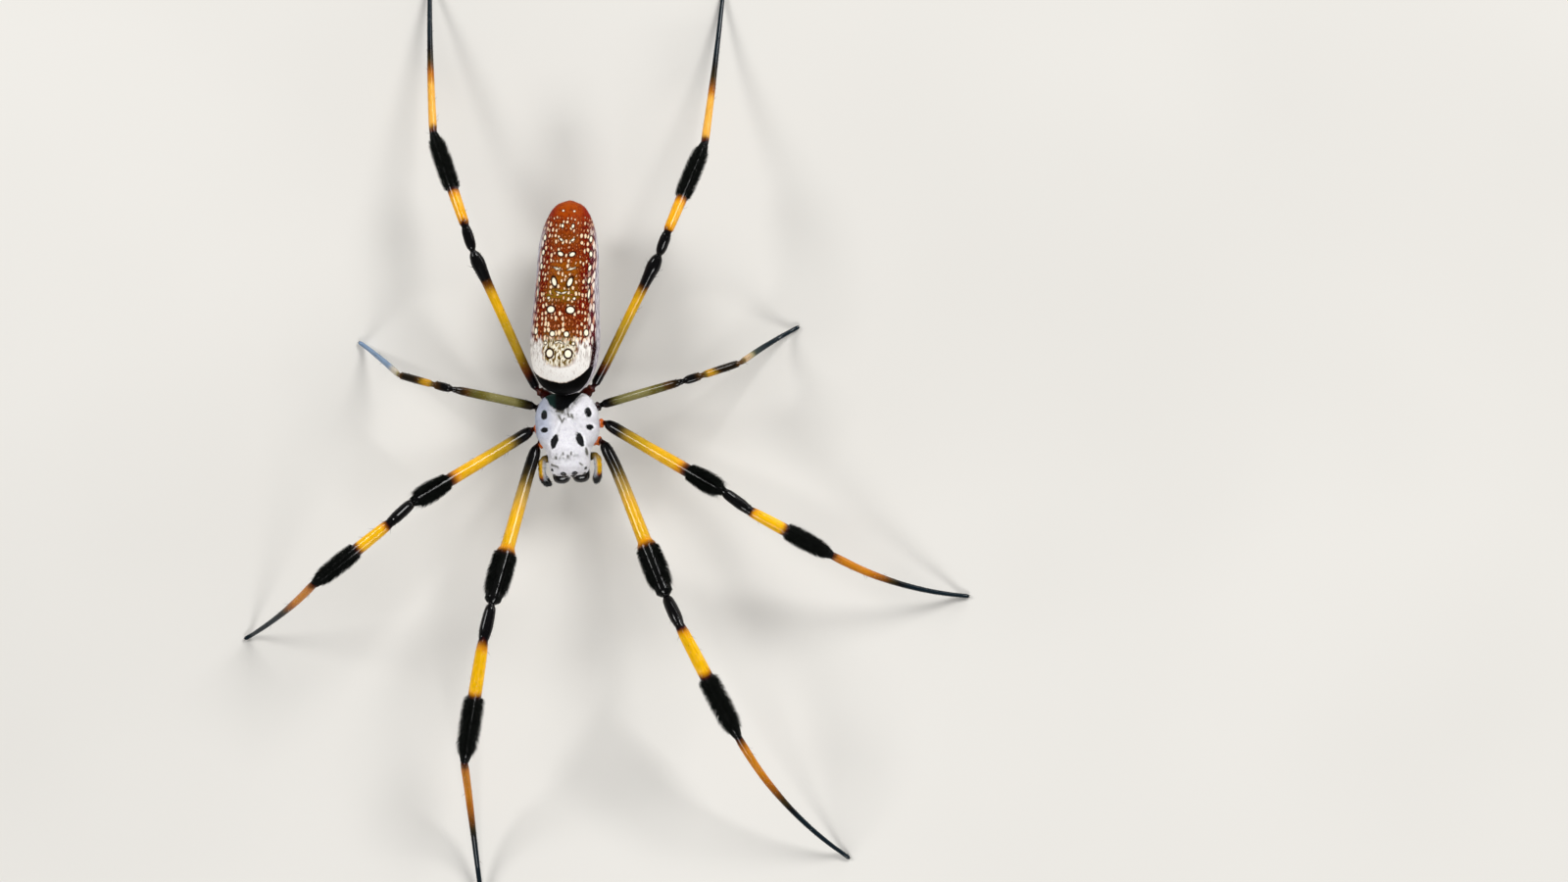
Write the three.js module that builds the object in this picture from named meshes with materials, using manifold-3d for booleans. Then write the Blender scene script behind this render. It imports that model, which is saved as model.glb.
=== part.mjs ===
// A female golden silk orb-weaver, life size, standing with its legs spread.
// Millimetres, +Z up, head towards -Y. The animal's own left side is +X.
// The shapes are laid out around the middle of the head shield, and the whole
// group is moved at the end so that the origin is under the middle of its box.

import * as THREE from 'three';
import { mergeVertices } from 'three/addons/utils/BufferGeometryUtils.js';
import Module from 'manifold-3d';

const wasm = await Module();
wasm.setup();

// ---------------------------------------------------------------- dimensions

const JOINT_GAP = 0.05;            // clear space between two neighbouring solids
const SAME_SHARE = 1e-6;           // shares of a length closer than this are the same ring
const LEFT = 1;
const RIGHT = -1;
const SIDES = { left: LEFT, right: RIGHT };

const PROSOMA_YAW = 3.5;           // the head end is turned a little to the animal's left, degrees
const SHIELD_MARGIN_HEIGHT = 6.3;  // height of the shield's edge above the floor
const SHIELD_UNDERCUT = 0.28;      // how far the shield reaches below its edge
const SHIELD_RINGS = 15;
const SHIELD_SIDES = 20;

// y from the front of the head to the rear edge, half width, height of the ridge
const SHIELD_STATIONS = [
  [-4.76, 0.00, 7.30],
  [-4.62, 1.45, 8.05],
  [-4.30, 2.02, 8.55],
  [-3.50, 2.36, 8.86],
  [-2.40, 2.44, 8.90],
  [-1.70, 2.66, 8.74],
  [-0.70, 3.28, 8.36],
  [0.40, 3.62, 8.06],
  [2.00, 3.62, 7.88],
  [3.30, 3.22, 7.50],
  [4.20, 2.56, 7.02],
  [4.66, 1.70, 6.70],
  [4.80, 0.00, 6.42],
];

const STERNUM = { front: -2.55, rear: 4.15, halfWidth: 1.2, low: 3.95, high: 5.9 };
const LABIUM = { front: -3.15, rear: -2.62, halfWidth: 0.85, low: 4.05, high: 5.6 };

const CHELICERA = { x: 1.09, top: 5.95, bottom: 3.0, halfWidth: 1.06, halfDepth: 1.12 };
const CHELICERA_SQUARENESS = 0.80; // 1 is an ellipse seen from above, less is closer to a box
// share of the way down, centre y, share of the half width, share of the half depth
const CHELICERA_STATIONS = [
  [0.00, -4.10, 0.00, 0.00],
  [0.04, -4.12, 0.72, 0.72],
  [0.20, -4.36, 0.97, 0.98],
  [0.45, -4.44, 0.99, 1.00],
  [0.75, -4.33, 0.85, 0.84],
  [0.93, -4.24, 0.62, 0.60],
  [1.00, -4.20, 0.00, 0.00],
];

const FANG_RADIUS = 0.27;
const FANG_ROUTE = [
  [1.05, -4.30, 2.92],
  [0.86, -4.22, 2.50],
  [0.50, -3.88, 2.28],
  [0.17, -3.40, 2.34],
];

// name, sideways place, height on the face, radius
const EYES = [
  ['front_middle', 0.42, 7.62, 0.21],
  ['rear_middle', 0.64, 8.28, 0.20],
  ['front_side', 1.66, 7.42, 0.17],
  ['rear_side', 1.86, 7.92, 0.17],
];
const EYE_PROUD = 0.45;            // share of an eye's radius that its centre stands out of the face
const SOCKET_SCALE = 1.06;

const PALP_RADIUS = 0.5;
const PALP_SIDES = 8;
const PALP_ROUTES = {
  left: [
    [1.75, -3.05, 4.75],
    [2.55, -2.55, 5.35],
    [3.05, -2.75, 6.00],
    [3.14, -3.75, 5.90],
    [2.98, -4.75, 5.10],
    [2.62, -5.62, 4.05],
  ],
  right: [
    [-1.75, -3.05, 4.75],
    [-2.55, -2.55, 5.35],
    [-3.05, -2.85, 6.00],
    [-3.18, -3.85, 5.90],
    [-3.12, -4.85, 5.10],
    [-2.48, -5.60, 4.12],
  ],
};

const PEDICEL = { radius: 0.5, from: [0, 4.25, 5.15], to: [0, 5.12, 5.75] };

const ABDOMEN_LENGTH = 22.0;
const ABDOMEN_YAW = -2.0;          // the tail leans to the animal's left, degrees
const ABDOMEN_ROLL = -4.5;         // the back is turned a little to the animal's right, degrees
const ABDOMEN_FRONT = [-0.4, 4.3];
const ABDOMEN_AXIS_HEIGHT = { front: 8.35, tail: 7.35 };
const ABDOMEN_DEPTH = { back: 0.97, belly: 0.92 };
const ABDOMEN_RINGS = 21;
const ABDOMEN_SIDES = 22;
// share of the length from the front, half width
const ABDOMEN_STATIONS = [
  [0.000, 0.00],
  [0.015, 1.45],
  [0.050, 2.55],
  [0.110, 3.32],
  [0.200, 3.84],
  [0.300, 3.95],
  [0.450, 3.78],
  [0.600, 3.54],
  [0.730, 3.42],
  [0.810, 3.18],
  [0.880, 2.74],
  [0.940, 2.12],
  [0.980, 1.32],
  [1.000, 0.00],
];

const SPINNERETS = { share: 0.85, baseRadius: 0.85, length: 1.5, lean: 28, spread: 0.34 };

// The coxa starts beside the sternum, and the hip is where the trochanter ends and
// the femur starts. The straight stretch of the femur points back at its aim. All
// are in the frame of the head end before it is turned, the coxa for the left side.
const HIPS = {
  1: {
    coxa: [1.62, -0.62, 4.72],
    left: { hip: [3.78, -1.02, 5.45], aim: [4.36, -1.72, 5.50] },
    right: { hip: [-3.60, -0.98, 5.45], aim: [-3.96, -1.68, 5.50] },
  },
  2: {
    coxa: [1.78, 0.82, 4.72],
    left: { hip: [4.20, 1.08, 5.50], aim: [4.28, 1.00, 5.50] },
    right: { hip: [-4.00, 0.82, 5.50], aim: [-3.96, 0.72, 5.50] },
  },
  3: {
    coxa: [1.70, 2.32, 4.72],
    left: { hip: [3.92, 3.10, 5.50], aim: [3.96, 3.10, 5.50] },
    right: { hip: [-3.60, 3.34, 5.50], aim: [-3.58, 3.38, 5.50] },
  },
  4: {
    coxa: [1.30, 3.74, 4.72],
    left: { hip: [3.20, 5.30, 5.30], aim: [3.42, 5.42, 5.30] },
    right: { hip: [-3.25, 5.28, 5.30], aim: [-3.48, 5.30, 5.30] },
  },
};
const COXA_RADIUS = 0.66;
const TROCHANTER_RADIUS = 0.56;

const LENGTHS = {
  1: { femur: 19.0, patella: 4.1, tibia: 14.8, foot: 22.0 },
  2: { femur: 17.0, patella: 3.7, tibia: 11.2, foot: 18.4 },
  3: { femur: 10.5, patella: 2.2, tibia: 4.9, foot: 10.8 },
  4: { femur: 17.4, patella: 2.9, tibia: 12.0, foot: 20.4 },
};

// Headings run anticlockwise from +X seen from above, and pitches rise from the
// floor, in degrees: femur, patella, tibia, start of the foot, end of the foot.
const POSE = {
  1: {
    left: { headings: [-67.5, -62.5, -63.5, -62.5, -37.5], pitches: [19.5, 33.5, -16, -25, -29] },
    right: { headings: [-103.5, -102, -100.5, -89.5, -83.5], pitches: [24, 8.5, -17.5, -46.5, -5.5] },
  },
  2: {
    left: { headings: [-29.5, -36.5, -29, -29.5, -6], pitches: [24.5, -9, -21.5, -22.5, -27.5] },
    right: { headings: [-147.5, -135, -142, -139, -151.5], pitches: [29, 29.5, -11, -51.5, -46.5] },
  },
  3: {
    left: { headings: [15.5, 17, 19, 39.5, 29], pitches: [21.5, 4, -25.5, -60.5, -26] },
    right: { headings: [168, 166, 165, 143, 147], pitches: [31, -4, -30.5, -58.5, -44.5] },
  },
  4: {
    left: { headings: [62.5, 68, 69, 83.5, 84.5], pitches: [22, 25.5, -24.5, -33, -13.5] },
    right: { headings: [113, 105.5, 110.5, 95.5, 92], pitches: [16, 13, -18, -19.5, -20.5] },
  },
};

// Radii in millimetres against the share of the segment's length. The wide
// stretches are the bottle brushes of hair at the ends of femur and tibia.
const RADII = {
  1: {
    femur: [[0.008, 0.32], [0.03, 0.60], [0.07, 0.72], [0.12, 0.74], [0.18, 0.74], [0.30, 0.76],
      [0.645, 0.83], [0.68, 1.12], [0.74, 1.38], [0.82, 1.49], [0.91, 1.40], [0.965, 0.96],
      [0.993, 0.50]],
    patella: [[0.03, 0.46], [0.12, 0.62], [0.32, 0.71], [0.60, 0.75], [0.80, 0.70], [0.92, 0.60],
      [0.98, 0.48]],
    tibia: [[0.010, 0.44], [0.035, 0.62], [0.10, 0.70], [0.43, 0.78], [0.455, 1.10], [0.52, 1.27],
      [0.68, 1.32], [0.86, 1.24], [0.94, 0.88], [0.992, 0.42]],
  },
  2: {
    femur: [[0.009, 0.34], [0.03, 0.58], [0.08, 0.71], [0.30, 0.72], [0.675, 0.76], [0.71, 0.88],
      [0.77, 1.06], [0.85, 1.28], [0.92, 1.22], [0.965, 0.94], [0.992, 0.52]],
    patella: [[0.03, 0.46], [0.13, 0.60], [0.32, 0.66], [0.70, 0.67], [0.89, 0.58], [0.975, 0.46]],
    tibia: [[0.012, 0.42], [0.04, 0.60], [0.12, 0.66], [0.42, 0.72], [0.45, 0.98], [0.62, 1.14],
      [0.85, 1.02], [0.94, 0.78], [0.99, 0.40]],
  },
  3: {
    femur: [[0.012, 0.32], [0.05, 0.50], [0.13, 0.54], [0.25, 0.53], [0.60, 0.53], [0.88, 0.49],
      [0.97, 0.40]],
    patella: [[0.06, 0.36], [0.20, 0.48], [0.50, 0.52], [0.82, 0.46], [0.95, 0.34]],
    tibia: [[0.03, 0.34], [0.12, 0.44], [0.40, 0.46], [0.75, 0.46], [0.92, 0.41], [0.98, 0.30]],
  },
  4: {
    femur: [[0.009, 0.34], [0.03, 0.52], [0.16, 0.55], [0.50, 0.56], [0.76, 0.60], [0.85, 0.72],
      [0.91, 0.82], [0.965, 0.66], [0.992, 0.42]],
    patella: [[0.04, 0.40], [0.16, 0.54], [0.40, 0.63], [0.72, 0.62], [0.90, 0.50], [0.97, 0.38]],
    tibia: [[0.012, 0.40], [0.04, 0.58], [0.20, 0.63], [0.385, 0.67], [0.415, 0.96], [0.52, 1.08],
      [0.70, 1.10], [0.87, 1.02], [0.94, 0.78], [0.99, 0.40]],
  },
};
const FOOT_RADII = [[0.015, 0.38], [0.06, 0.49], [0.20, 0.46], [0.34, 0.43], [0.52, 0.36],
  [0.70, 0.32], [0.85, 0.29], [0.93, 0.27], [0.99, 0.26]];
const FOOT_RADII_THIN = [[0.03, 0.30], [0.10, 0.38], [0.40, 0.36], [0.70, 0.31], [0.88, 0.28],
  [0.985, 0.26]];
const FOOT_HEIGHT = 0.21;          // centre of the last length of the foot above the floor
const FOOT_PAD = 0.55;             // length at the foot's end that lies level
const FOOT_STEPS = 8;
const LEG_SIDES = 8;

const LOOKS = {
  shield: { color: 0xc9c6cd, roughness: 0.7, metalness: 0 },
  abdomen: { color: 0x9a4a16, roughness: 0.45, metalness: 0 },
  dark: { color: 0x17120f, roughness: 0.35, metalness: 0 },
  amber: { color: 0xe0a21c, roughness: 0.35, metalness: 0 },
  orange: { color: 0xb8641a, roughness: 0.4, metalness: 0 },
  eye: { color: 0x0a0a0c, roughness: 0.08, metalness: 0 },
};

// ------------------------------------------------------------------- helpers

const model = new THREE.Group();

function addPart(name, geometry, look) {
  const mesh = new THREE.Mesh(geometry, new THREE.MeshStandardMaterial(LOOKS[look]));
  mesh.name = name;
  model.add(mesh);
  return mesh;
}

function radians(degrees) {
  return THREE.MathUtils.degToRad(degrees);
}

/** Reads column `column` of a table at `at`, smoothly between its rows. */
function smoothRead(table, at, column) {
  const last = table.length - 1;
  let row = 0;
  while (row < last - 1 && at > table[row + 1][0]) {
    row += 1;
  }
  const slope = (i) => {
    if (i === 0 || i === last) {
      return null;
    }
    const before = (table[i][column] - table[i - 1][column]) / (table[i][0] - table[i - 1][0]);
    const after = (table[i + 1][column] - table[i][column]) / (table[i + 1][0] - table[i][0]);
    return before * after <= 0 ? 0 : 2 * before * after / (before + after);
  };
  const span = table[row + 1][0] - table[row][0];
  const t = THREE.MathUtils.clamp((at - table[row][0]) / span, 0, 1);
  const a = table[row][column];
  const b = table[row + 1][column];
  const chord = (b - a) / span;
  const startSlope = slope(row) ?? 1.6 * chord;
  const endSlope = slope(row + 1) ?? 1.6 * chord;
  return (2 * t ** 3 - 3 * t ** 2 + 1) * a + (t ** 3 - 2 * t ** 2 + t) * span * startSlope
    + (3 * t ** 2 - 2 * t ** 3) * b + (t ** 3 - t ** 2) * span * endSlope;
}

/** A closed lathe of unit rings at the given shares, each vertex then put where
 *  place(share, across, up) says; the first and last rings are single points. */
function ringedBody(shares, sides, place) {
  const last = shares.length - 1;
  const profile = shares.map((share, i) => new THREE.Vector2(i === 0 || i === last ? 0 : 1, share));
  const geometry = new THREE.LatheGeometry(profile, sides);
  const position = geometry.attributes.position;
  for (let i = 0; i < position.count; i += 1) {
    const point = place(position.getY(i), position.getX(i), position.getZ(i));
    position.setXYZ(i, point.x, point.y, point.z);
  }
  geometry.computeVertexNormals();
  return geometry;
}

/** Shares from 0 to 1 that crowd towards both ends, as the rings of a ball do. */
function ballShares(count) {
  return Array.from({ length: count }, (_, i) => (1 - Math.cos(Math.PI * i / (count - 1))) / 2);
}

/** A round body along a curve; `radii` rows are [share of length, radius]. */
function limb(curve, radii, sides, upright = new THREE.Vector3(0, 0, 1)) {
  const rows = [[0, 0], ...radii, [1, 0]];
  return ringedBody(rows.map((row) => row[0]), sides, (share, across, up) => {
    const along = curve.getTangentAt(share);
    const sideways = new THREE.Vector3().crossVectors(along, upright).normalize();
    const upwards = new THREE.Vector3().crossVectors(sideways, along);
    const [, radius] = rows.find((row) => Math.abs(row[0] - share) < SAME_SHARE);
    return curve.getPointAt(share)
      .addScaledVector(sideways, across * radius)
      .addScaledVector(upwards, up * radius);
  });
}

function vectors(points) {
  return points.map((point) => new THREE.Vector3(...point));
}

/** A straight line from a to b that stops half a gap short at each end. */
function gappedLine(a, b) {
  const inset = b.clone().sub(a).setLength(JOINT_GAP / 2);
  return new THREE.LineCurve3(a.clone().add(inset), b.clone().sub(inset));
}

function direction(heading, pitch) {
  const flat = Math.cos(radians(pitch));
  return new THREE.Vector3(
    Math.cos(radians(heading)) * flat,
    Math.sin(radians(heading)) * flat,
    Math.sin(radians(pitch)),
  );
}

/** The geometry with only merged positions left, as a solid that can be cut. */
function toSolid(geometry) {
  const bare = geometry.clone();
  bare.deleteAttribute('normal');
  bare.deleteAttribute('uv');
  const merged = mergeVertices(bare, 1e-4);
  const kept = [];
  const index = merged.index.array;
  for (let i = 0; i < index.length; i += 3) {
    const [a, b, c] = [index[i], index[i + 1], index[i + 2]];
    if (a !== b && b !== c && c !== a) {
      kept.push(a, b, c);
    }
  }
  return new wasm.Manifold(new wasm.Mesh({
    numProp: 3,
    vertProperties: merged.attributes.position.array,
    triVerts: new Uint32Array(kept),
  }));
}

function fromSolid(solid) {
  const mesh = solid.getMesh();
  const geometry = new THREE.BufferGeometry();
  geometry.setAttribute('position', new THREE.BufferAttribute(mesh.vertProperties, 3));
  geometry.setIndex(new THREE.BufferAttribute(mesh.triVerts, 1));
  geometry.computeVertexNormals();
  return geometry;
}

// ------------------------------------------------------------------- prosoma

const prosomaTurn = new THREE.Matrix4().makeRotationZ(radians(PROSOMA_YAW));

/** A point of the head end, on the given side, after the head end is turned. */
function prosomaPoint([x, y, z], side = LEFT) {
  return new THREE.Vector3(x * side, y, z).applyMatrix4(prosomaTurn);
}

function shieldPoint(share, across, up) {
  const front = SHIELD_STATIONS[0][0];
  const rear = SHIELD_STATIONS[SHIELD_STATIONS.length - 1][0];
  const y = THREE.MathUtils.lerp(front, rear, share);
  const halfWidth = smoothRead(SHIELD_STATIONS, y, 1);
  const ridge = smoothRead(SHIELD_STATIONS, y, 2);
  if (across === 0 && up === 0) {
    return new THREE.Vector3(0, y, ridge);
  }
  const isHead = 1 - THREE.MathUtils.smoothstep(y, -2.6, 0.2);
  const squareness = THREE.MathUtils.lerp(1, 0.78, isHead);
  const width = Math.sign(across) * Math.abs(across) ** squareness * halfWidth;
  const rise = up > 0 ? up ** squareness * (ridge - SHIELD_MARGIN_HEIGHT) : up * SHIELD_UNDERCUT;
  return new THREE.Vector3(width, y, SHIELD_MARGIN_HEIGHT + rise);
}

/** How far forward the face of the shield lies at a place on it. */
function faceFront(x, z) {
  let y = SHIELD_STATIONS[0][0];
  while (y < 0) {
    const halfWidth = smoothRead(SHIELD_STATIONS, y, 1);
    const rise = smoothRead(SHIELD_STATIONS, y, 2) - SHIELD_MARGIN_HEIGHT;
    const inside = (x / halfWidth) ** 2.4 + (Math.abs(z - SHIELD_MARGIN_HEIGHT) / rise) ** 2.4;
    if (halfWidth > 0.2 && inside < 1) {
      return y;
    }
    y += 0.01;
  }
  return y;
}

function eyeCentre([, x, z, radius], side) {
  const y = faceFront(x, z) - radius * EYE_PROUD + radius * 0.5;
  return new THREE.Vector3(x * side, y, z);
}

function buildShieldAndEyes() {
  const shieldGeometry = ringedBody(ballShares(SHIELD_RINGS), SHIELD_SIDES, shieldPoint);
  let shield = toSolid(shieldGeometry);
  for (const [sideName, side] of Object.entries(SIDES)) {
    for (const eye of EYES) {
      const [name, , , radius] = eye;
      const centre = eyeCentre(eye, side);
      const ball = new THREE.IcosahedronGeometry(radius, 1);
      const socket = ball.clone().scale(SOCKET_SCALE, SOCKET_SCALE, SOCKET_SCALE);
      socket.translate(...centre.toArray());
      shield = shield.subtract(toSolid(socket));
      ball.translate(...centre.toArray());
      ball.applyMatrix4(prosomaTurn);
      addPart(`eye_${name}_${sideName}`, ball, 'eye');
    }
  }
  addPart('carapace', fromSolid(shield).applyMatrix4(prosomaTurn), 'shield');
}

/** A plump plate on the underside, from its front to its rear end. */
function buildPlate(name, plate, rings, sides) {
  const middle = (plate.low + plate.high) / 2;
  const rise = (plate.high - plate.low) / 2;
  const geometry = ringedBody(ballShares(rings), sides, (share, across, up) => {
    const fullness = Math.min(1, 2.2 * Math.sqrt(share * (1 - share)));
    const taper = 1 - 0.3 * share;
    return new THREE.Vector3(
      across * plate.halfWidth * fullness * taper,
      THREE.MathUtils.lerp(plate.front, plate.rear, share),
      middle + up * rise * fullness,
    );
  });
  addPart(name, geometry.applyMatrix4(prosomaTurn), 'dark');
}

/** A share of a circle's radius pushed out towards a square with rounded corners. */
function squared(part) {
  return Math.sign(part) * Math.abs(part) ** CHELICERA_SQUARENESS;
}

function buildChelicera(sideName, side) {
  const shares = CHELICERA_STATIONS.map((row) => row[0]);
  const geometry = ringedBody(shares, 10, (share, across, up) => {
    const centreY = smoothRead(CHELICERA_STATIONS, share, 1);
    const wide = smoothRead(CHELICERA_STATIONS, share, 2) * CHELICERA.halfWidth;
    const deep = smoothRead(CHELICERA_STATIONS, share, 3) * CHELICERA.halfDepth;
    return new THREE.Vector3(
      CHELICERA.x * side - squared(across) * wide,
      centreY - squared(up) * deep,
      THREE.MathUtils.lerp(CHELICERA.top, CHELICERA.bottom, share),
    );
  });
  addPart(`chelicera_${sideName}`, geometry.applyMatrix4(prosomaTurn), 'dark');
}

function buildFang(sideName, side) {
  const route = new THREE.CatmullRomCurve3(FANG_ROUTE.map((point) => prosomaPoint(point, side)));
  const radii = [[0.05, 0.8], [0.25, 1], [0.6, 0.7], [0.9, 0.3]].map(
    ([share, scale]) => [share, scale * FANG_RADIUS],
  );
  addPart(`fang_${sideName}`, limb(route, radii, 6, new THREE.Vector3(0, 1, 0)), 'dark');
}

function buildPalp(sideName) {
  const points = PALP_ROUTES[sideName].map((point) => prosomaPoint(point));
  const route = new THREE.CatmullRomCurve3(points);
  const radii = [[0.03, 0.7], [0.15, 1], [0.33, 0.95], [0.45, 1.05], [0.58, 0.9], [0.7, 1],
    [0.85, 1], [0.97, 0.62]].map(([share, scale]) => [share, scale * PALP_RADIUS]);
  addPart(`palp_${sideName}`, limb(route, radii, PALP_SIDES), 'amber');
}

// ------------------------------------------------------------------- abdomen

const abdomenTurn = new THREE.Matrix4()
  .makeTranslation(ABDOMEN_FRONT[0], ABDOMEN_FRONT[1], 0)
  .multiply(new THREE.Matrix4().makeRotationZ(radians(ABDOMEN_YAW)));

/** Height of the abdomen's middle line above the floor. */
function axisHeight(share) {
  return THREE.MathUtils.lerp(ABDOMEN_AXIS_HEIGHT.front, ABDOMEN_AXIS_HEIGHT.tail, share);
}

function abdomenPoint(share, across, up) {
  const halfWidth = smoothRead(ABDOMEN_STATIONS, share, 1);
  const depth = up > 0 ? ABDOMEN_DEPTH.back : ABDOMEN_DEPTH.belly;
  const roll = radians(ABDOMEN_ROLL);
  const x = across * halfWidth;
  const z = up * halfWidth * depth;
  return new THREE.Vector3(
    x * Math.cos(roll) + z * Math.sin(roll),
    share * ABDOMEN_LENGTH,
    axisHeight(share) - x * Math.sin(roll) + z * Math.cos(roll),
  );
}

function buildAbdomen() {
  const geometry = ringedBody(ballShares(ABDOMEN_RINGS), ABDOMEN_SIDES, abdomenPoint);
  addPart('abdomen', geometry.applyMatrix4(abdomenTurn), 'abdomen');
}

/** A low round base under the tail end with four blunt cones on it. */
function buildSpinnerets() {
  const belly = smoothRead(ABDOMEN_STATIONS, SPINNERETS.share, 1) * ABDOMEN_DEPTH.belly;
  const top = axisHeight(SPINNERETS.share) - belly - 0.22;
  const y = SPINNERETS.share * ABDOMEN_LENGTH;
  const base = limb(
    new THREE.LineCurve3(new THREE.Vector3(0, y, top), new THREE.Vector3(0, y, top - 0.55)),
    [[0.05, SPINNERETS.baseRadius], [0.6, SPINNERETS.baseRadius * 0.9]],
    10,
    new THREE.Vector3(0, 1, 0),
  );
  let cluster = toSolid(base);
  for (const side of [LEFT, RIGHT]) {
    for (const end of [-1, 1]) {
      const foot = new THREE.Vector3(side * SPINNERETS.spread, y + end * 0.36, top - 0.3);
      const lean = radians(SPINNERETS.lean);
      const reach = new THREE.Vector3(-side * 0.12, end > 0 ? Math.sin(lean) : 0.1, -Math.cos(lean));
      const tip = foot.clone().addScaledVector(reach, SPINNERETS.length * (end > 0 ? 0.8 : 0.65));
      const cone = limb(new THREE.LineCurve3(foot, tip), [[0.05, 0.34], [0.6, 0.3], [0.95, 0.17]],
        7, new THREE.Vector3(0, 1, 0));
      cluster = cluster.add(toSolid(cone));
    }
  }
  addPart('spinnerets', fromSolid(cluster).applyMatrix4(abdomenTurn), 'dark');
}

function buildPedicel() {
  const [from, to] = vectors([PEDICEL.from, PEDICEL.to]);
  const radii = [[0.08, 0.8], [0.5, 1], [0.92, 0.8]].map(([share, s]) => [share, s * PEDICEL.radius]);
  addPart('pedicel', limb(new THREE.LineCurve3(from, to), radii, 8), 'dark');
}

// ---------------------------------------------------------------------- legs

/** The femur's curve: bent near the hip, and straight in line with its aim after that. */
function femurRoute(hip, aim, knee) {
  const straight = [0.16, 0.40, 0.70].map((share) => aim.clone().lerp(knee, share));
  const points = [hip.clone(), ...straight, knee.clone()];
  const last = points.length - 1;
  points[0].add(points[1].clone().sub(hip).setLength(JOINT_GAP / 2));
  points[last].add(points[last - 1].clone().sub(knee).setLength(JOINT_GAP / 2));
  return new THREE.CatmullRomCurve3(points);
}

/** The curve of metatarsus and tarsus, which ends in a short level pad. */
function footRoute(start, length, headings, pitches) {
  const points = [start.clone()];
  for (let step = 0; step < FOOT_STEPS; step += 1) {
    const share = (step + 0.5) / FOOT_STEPS;
    const heading = THREE.MathUtils.lerp(headings[3], headings[4], share);
    const pitch = THREE.MathUtils.lerp(pitches[3], pitches[4], share);
    const stride = direction(heading, pitch).multiplyScalar((length - FOOT_PAD) / FOOT_STEPS);
    points.push(points[step].clone().add(stride));
  }
  const drop = FOOT_HEIGHT - points[FOOT_STEPS].z;
  points.forEach((point, step) => {
    point.z += drop * step / FOOT_STEPS;
  });
  points.push(points[FOOT_STEPS].clone().add(direction(headings[4], 0).multiplyScalar(FOOT_PAD)));
  points[0].add(points[1].clone().sub(points[0]).setLength(JOINT_GAP / 2));
  return new THREE.CatmullRomCurve3(points);
}

/** Presses whatever reaches below the floor into a flat on it. */
function flattenOnFloor(geometry) {
  const position = geometry.attributes.position;
  for (let i = 0; i < position.count; i += 1) {
    position.setZ(i, Math.max(position.getZ(i), 0));
  }
  return geometry;
}

function buildLeg(number, sideName, side) {
  const name = `leg_${number}_${sideName}`;
  const { headings, pitches } = POSE[number][sideName];
  const lengths = LENGTHS[number];
  const radii = RADII[number];
  const coxaStart = prosomaPoint(HIPS[number].coxa, side);
  const hip = prosomaPoint(HIPS[number][sideName].hip);
  const aim = prosomaPoint(HIPS[number][sideName].aim);
  const coxaRadii = [[0.07, COXA_RADIUS * 0.8], [0.3, COXA_RADIUS], [0.6, COXA_RADIUS],
    [0.72, TROCHANTER_RADIUS * 0.92], [0.84, TROCHANTER_RADIUS], [0.96, TROCHANTER_RADIUS * 0.55]];
  addPart(`${name}_coxa`, limb(gappedLine(coxaStart, hip), coxaRadii, LEG_SIDES), 'dark');
  let from = aim.clone().addScaledVector(direction(headings[0], pitches[0]), lengths.femur);
  const femur = femurRoute(hip, aim, from);
  addPart(`${name}_femur`, limb(femur, radii.femur, LEG_SIDES), 'amber');
  ['patella', 'tibia'].forEach((segment, i) => {
    const reach = direction(headings[i + 1], pitches[i + 1]).multiplyScalar(lengths[segment]);
    const to = from.clone().add(reach);
    const look = segment === 'patella' ? 'dark' : 'amber';
    addPart(`${name}_${segment}`, limb(gappedLine(from, to), radii[segment], LEG_SIDES), look);
    from = to;
  });
  const route = footRoute(from, lengths.foot, headings, pitches);
  const footRadii = number === '3' ? FOOT_RADII_THIN : FOOT_RADII;
  addPart(`${name}_foot`, flattenOnFloor(limb(route, footRadii, LEG_SIDES)), 'orange');
}

// ------------------------------------------------------------------ assembly

buildShieldAndEyes();
buildPlate('sternum', STERNUM, 8, 12);
buildPlate('labium', LABIUM, 5, 8);
for (const [sideName, side] of Object.entries(SIDES)) {
  buildChelicera(sideName, side);
  buildFang(sideName, side);
  buildPalp(sideName);
  for (const number of Object.keys(HIPS)) {
    buildLeg(number, sideName, side);
  }
}
buildPedicel();
buildAbdomen();
buildSpinnerets();

const box = new THREE.Box3().setFromObject(model);
const centre = box.getCenter(new THREE.Vector3());
model.position.set(-centre.x, -centre.y, -box.min.z);
model.updateMatrixWorld(true);

export default model;
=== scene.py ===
"""Looks of the golden silk orb-weaver: one skin over the whole animal, and its hair as solid mesh.

Lengths are in millimetres until a mesh is made. The animal's head is towards -Y and its own left
side is +X. `u` runs along a part and `v` around it.
"""

import math

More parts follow.
